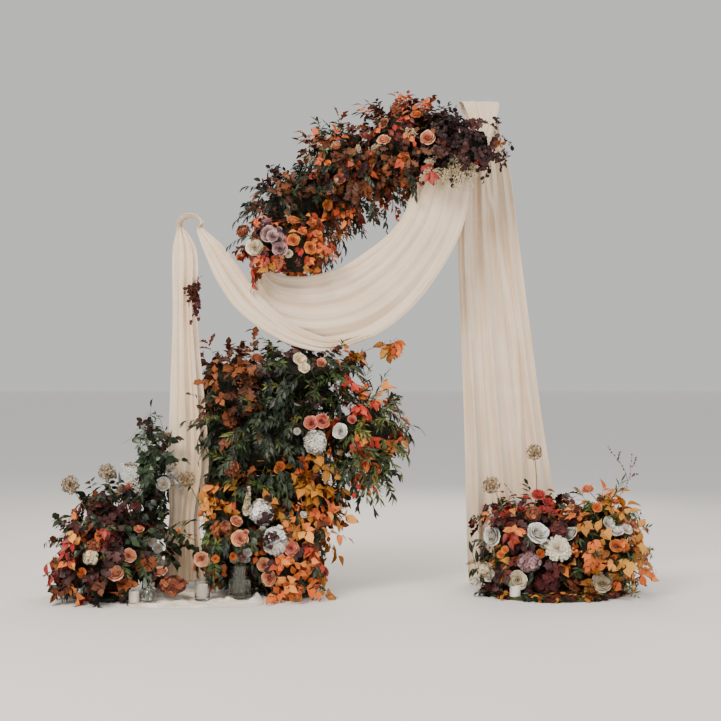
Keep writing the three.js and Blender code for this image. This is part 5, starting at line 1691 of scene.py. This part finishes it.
# Candle wax: poured, slightly see-through at the rim, with a faint bloom
wax = speckled("candle wax, poured ivory", 60.0, 4.0, [(0.3, "efe7d6"), (0.7, "f8f3e8")], (0.15, 0.0008),
               Roughness=0.45, Subsurface_Weight=0.4, Subsurface_Radius=(0.012, 0.009, 0.006))
# A burnt wick: black char with brown cotton showing
wick_cotton = speckled("burnt cotton wick", 500.0, 2.0, [(0.3, "17120e"), (0.7, "3a2f26")], Roughness=0.9)


def lathed(name, profile, at, finish, nodes=(), turns=64):
    """An upright turned piece: a closed profile of (radius, height) points with a Screw modifier."""
    piece = blank()
    points = [(r / 1000, 0.0, h / 1000) for r, h in profile]
    piece.data.from_pydata(points, [(i, i + 1) for i in range(len(points) - 1)], [])
    screw = piece.modifiers.new("turn", "SCREW")
    screw.steps = screw.render_steps = turns
    screw.use_merge_vertices = True
    screw.merge_threshold = 0.00001
    smooth = piece.modifiers.new("smooth", "SUBSURF")
    smooth.levels = smooth.render_levels = 1
    apply_all(piece)
    bpy.ops.object.mode_set(mode="EDIT")
    bpy.ops.mesh.select_all(action="SELECT")
    bpy.ops.mesh.remove_doubles(threshold=0.00001)
    bpy.ops.mesh.normals_make_consistent(inside=False)
    bpy.ops.object.mode_set(mode="OBJECT")
    piece.data.transform(Matrix.Translation(site(at)))
    bpy.ops.object.shade_smooth()
    finished(settled(piece, name), nodes, [finish])


def candle(name, vessel, radius, height, foot, replaced):
    """A candle with a softened rim and a burnt pool, and its wick."""
    at = (*VESSELS[vessel][:2], foot)
    lip = radius - 3
    profile = [(0, 0), (radius - 1.5, 0), (radius, 1.5), (radius, 4), (radius, height - 4),
               (radius, height - 1.2), (radius - 1.2, height), (lip, height), (lip - 2, height - 1.5),
               (lip * 0.6, height - 4), (6, height - 5), (0, height - 5)]
    lathed(name, profile, at, wax, [replaced])
    wick = Heap()
    root = np.array(at, float) + (0, 0, height - 6)
    line = root + np.array([(0, 0, 0), (0.3, 0, 4), (1.2, 0.4, 8), (3.0, 1.0, 10.5)])
    tubes(wick, line[None], 1.0, 0.5, sides=6)
    wick.made(f"{name}_wick", "wax", mats=[wick_cotton])


STAND = 8.3  # height of the feet of what stands on the cloth
candle("votive_candle_wax", "votive", 36, 88, STAND + 10.3, "votive_candle")
candle("left_pillar_wax", "left_pillar", 34, 74, STAND, "left_pillar_candle")
candle("right_pillar_wax", "right_pillar", 35, 72, CANDLE_FOOT, "right_pillar_candle")


def blown(name, vessel, outer, wall, replaced):
    """A glass from its outer profile, with a bottom 10 mm thick."""
    bottom = 10
    inner = [(r - wall, h) for r, h in outer[::-1] if h > bottom and r > wall]
    r, h = outer[-1]
    low = inner[-1][0]
    profile = [(0, 0), *outer, (r - wall / 2, h + wall * 0.3), *inner, (low * 0.96, bottom),
               (low * 0.5, bottom), (0, bottom)]
    lathed(name, profile, (*VESSELS[vessel][:2], STAND), glass, [replaced])


blown("votive_tumbler", "votive", [(46, 0), (49.5, 2), (50, 6), (50, 60), (50, 125), (50, 129)], 3.2,
      "votive_glass")
blown("left_cylinder_vase", "vase", [(70, 0), (74.5, 2), (75, 8), (75, 110), (75, 214), (75, 219)], 4.0,
      "left_glass_vase")
blown("small_bud_vase", "bud_vase",
      [(26, 0), (30, 2), (42, 20), (47.5, 36), (46, 50), (38, 68), (29, 82), (26.5, 91)], 3.2,
      "small_glass_vase")
VASE_X, VASE_Y = VESSELS["vase"][:2]
lathed("vase_water", [(0, 9.6), (70, 9.6), (71.2, 12), (71.2, 128), (70.6, 130), (0, 130)],
       (VASE_X, VASE_Y, STAND), water, turns=48)
# Stems that cross in the water, and a few blooms over the rim
in_vase = Heap()
for k in range(7):
    turn = 2.4 * k
    foot = np.array((VASE_X + 44 * math.cos(turn), VASE_Y + 44 * math.sin(turn), 24 + 3 * (k % 3)))
    top = np.array((VASE_X - 38 * math.cos(turn), VASE_Y - 38 * math.sin(turn), 262 + 10 * (k % 4)))
    stalk(in_vase, foot, top, 2.6 + 0.4 * (k % 3))
for k, (kind, finish) in enumerate((("cup", "white"), ("bud_rose", "orange"), ("rose", "peach"),
                                    ("cup", "cream"), ("bud_rose", "lilac"))):
    turn = 1.3 * k
    place = np.array((VASE_X + 42 * math.cos(turn), VASE_Y - 10 + 36 * math.sin(turn), 250 + 12 * (k % 3)))
    grow(in_vase, kind, finish, place, np.array((0.2 * math.cos(turn), -0.6, 0.8)), 30)
in_vase.made("vase_stems", "green_foliage")
# A sprig of dusted leaves in the small vase
in_bud = Heap()
stalk(in_bud, (-1372, -640, 22), (-1366, -642, 172), 2.2)
base = np.array([(-1372, -642, 104), (-1360, -648, 112), (-1374, -640, 132), (-1358, -646, 142),
                 (-1366, -644, 160)])
way = unit(np.array([(-0.9, -0.2, 0.7), (0.9, -0.3, 0.8), (-0.8, -0.2, 1.0), (0.7, -0.3, 1.0),
                     (0.1, -0.3, 1.0)]))
up = unit(np.cross(way, np.cross((0.0, -1.0, 0.3), way)))
tile(in_bud, LEAVES["eucalyptus"], base, np.cross(way, up), way, up, 1.12, 0.75, "eucalyptus")
in_bud.made("bud_vase_sprig", "green_foliage")

# Loose touches: a sprig tucked into the left fall, growth and dropped leaves on the right board, thin twigs


def twig(heap, places, y, steps, thick, thin):
    """A thin twig through places in the picture, at one depth. Gives its middle line."""
    line = curve([at_pixel(px, py, y) for px, py in places], np.linspace(0, len(places) - 1, steps))
    tubes(heap, line[None], np.linspace(thick, thin, steps)[None], 0.3, "brown_twig", 5)
    return line


tucked = Heap()
stalk(tucked, (-1092, -176, 2168), (-1112, -250, 2132), 1.8, "brown_twig")
stalk(tucked, (-1112, -250, 2134), (-1134, -268, 1960), 1.4, "brown_twig")
for kind, count, top in (("cotinus", 5, 2110), ("maple", 3, 2110), ("beech", 3, 2080), ("cotinus", 4, 1990),
                         ("maple", 2, 1970)):
    roots = np.array((-1130, -262, top)) + rng.normal(0, 1, (count, 3)) * (9, 6, 22)
    out = unit((-0.1, -0.5, -0.6) + 0.2 * rng.normal(size=roots.shape))
    sprigs(tucked, kind, roots, out, (-0.15, 0, -0.9), 0.7, 0.1, 0.7)
tucked.made("tucked_sprig", "burgundy_foliage")

# A pale feathery spire that leans out of the left bank, and a bare twig that arches from the left column
spire = Heap()
SPIRE_FOOT = at_pixel(143, 496, -440.0)
for turn, long in ((-0.48, 330), (-0.36, 270), (-0.62, 250)):
    plume(spire, SPIRE_FOOT, (turn, -0.05, 1.0), long, 34, "white", 34)
ARCHING_TWIG = ((166, 440), (160, 419), (152, 414), (143, 420), (133, 436), (124, 443))
twig(spire, ARCHING_TWIG, -400.0, 24, 2.0, 0.7)
spire.made("left_spire", "white_petal")

# Turning leaves on a thin branch that reaches out under the swag
reaching = Heap()
REACHING_BRANCH = ((322, 380), (345, 362), (370, 349), (398, 342))
branch = twig(reaching, REACHING_BRANCH, -110.0, 20, 3.0, 1.2)
for kind, first in (("amber", 7), ("beech", 9), ("amber", 15), ("orange", 17)):
    out = np.tile(unit(np.array([(0.1, -0.5, -0.4)])), (3, 1))
    sprigs(reaching, kind, branch[first:first + 3], out, (0.1, 0, -0.6), 0.42, 0.3, 0.8)
reaching.made("reaching_branch", "rust_foliage")


def on_board(turn, far, height):
    """Places over the right board, from a turn and a share of the way to its rim."""
    x, y = BOARD_X + BOARD_WIDE * far * np.cos(turn), BOARD_Y + BOARD_DEEP * far * np.sin(turn)
    return np.stack(np.broadcast_arrays(x, y, height), -1)


def off_candle(places, clear):
    return np.hypot(places[:, 0] - CANDLE_X, places[:, 1] - CANDLE_Y) > clear


low = Heap()
# Sprigs round the front of the board
for kind, count in (("cotinus", 24), ("maple", 18), ("fern", 12), ("ruscus", 14), ("amber", 12),
                    ("beech", 12)):
    turn, far = rng.uniform(0.95 * math.pi, 2.05 * math.pi, count), rng.uniform(0.66, 0.98, count)
    out = unit(np.stack([0.8 * np.cos(turn), 0.8 * np.sin(turn), np.full(count, 0.55)], -1))
    sprigs(low, kind, on_board(turn, far, 34.0), out, (0, 0, -0.15), 0.62, 0.3, 0.85)
# Leaves that lie over its rim
for kind, count in (("cotinus", 60), ("maple", 34), ("beech", 30), ("salal", 34), ("ruscus", 40),
                    ("amber", 12)):
    turn, far = rng.uniform(0, 2 * math.pi, count), rng.uniform(0.90, 1.0, count)
    place = on_board(turn, far, rng.uniform(26, 36, count))
    out = np.stack([np.cos(turn), np.sin(turn), rng.uniform(-0.42, -0.1, count)], -1)
    along = unit(out + 0.28 * rng.normal(size=(count, 3)) * (1, 1, 0))
    across = unit(np.cross(along, UP + 0.25 * rng.normal(size=(count, 3))))
    place, along, across = (a[off_candle(place, 70)] for a in (place, along, across))
    tile(low, LEAVES[kind], place, across, along, np.cross(across, along), rng.uniform(0.6, 0.9, len(place)),
         rng.uniform(0.1, 0.8, len(place)), kind, rng.uniform(0.3, 1.0, len(place)))
# Dropped leaves on it and beside it
for kind, count in (("cotinus", 90), ("maple", 50), ("amber", 40), ("orange", 40), ("beech", 50)):
    turn, far = rng.uniform(0, 2 * math.pi, count), np.sqrt(rng.uniform(0.2, 1.08, count))
    place = on_board(turn, far, np.where(far < 0.96, 31.0, 4.0))
    place = place[off_candle(place, 75)]
    up = unit(UP + 0.18 * rng.normal(size=place.shape))
    across, along = frames(up, rng.uniform(0, 6.28, len(place)))
    tile(low, LEAVES[kind], place, across, along, up, rng.uniform(0.5, 0.8, len(place)),
         rng.uniform(0.1, 0.9, len(place)), kind, rng.uniform(0.2, 1.0, len(place)))
# Budding twigs that stand out of the right bank: where they run in the picture, and their depth
BUD_TWIGS = (
    (((617, 500), (622, 490), (629, 477), (631, 454)), -190),
    (((627, 481), (624, 470), (616, 458), (607, 447)), -190),
    (((630, 468), (634, 463), (635, 458)), -190),
    (((618, 462), (618, 456), (620, 452)), -190),
    (((628, 478), (634, 474), (637, 474)), -190),
    (((630, 545), (637, 555), (643, 559), (649, 564)), -250),
    (((638, 556), (642, 551), (646, 548)), -250),
    (((512, 524), (505, 513), (497, 506), (488, 505)), -330),
    (((515, 522), (515, 507), (512, 494), (504, 484)), -330))
for bends, y in BUD_TWIGS:
    buds = twig(low, bends, y, 12, 2.0, 0.8)[3:] + rng.normal(0, 4, (9, 3))
    bloom(low, "ball", "wine", buds, np.tile((0, -1, 0.3), (9, 1)), rng.uniform(3, 7, 9), 0.3)
# Long dark leaves before the foot of the right fall: the pixel of each and its lean
DARK_LEAVES = ((472, 553, -0.25), (477, 562, -0.1), (483, 557, 0.1))
for px, py, lean in DARK_LEAVES:
    at = at_pixel(px, py, -330.0)
    way = unit(np.array([(lean, -0.15, 1.0)]))
    up = unit(np.cross(way, np.cross((0.0, -1.0, 0.0), way)))
    for side in (up, -up):
        tile(low, LEAVES["ruscus"], at[None], np.cross(way, side), way, side, 1.15, 0.1, "salal",
             np.array([2.0]))
    stalk(low, at, at + (40, 60, -150), 2.0)
low.made("right_board_growth", "rust_foliage")

size = {"cad": cad_box, "visual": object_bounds()}
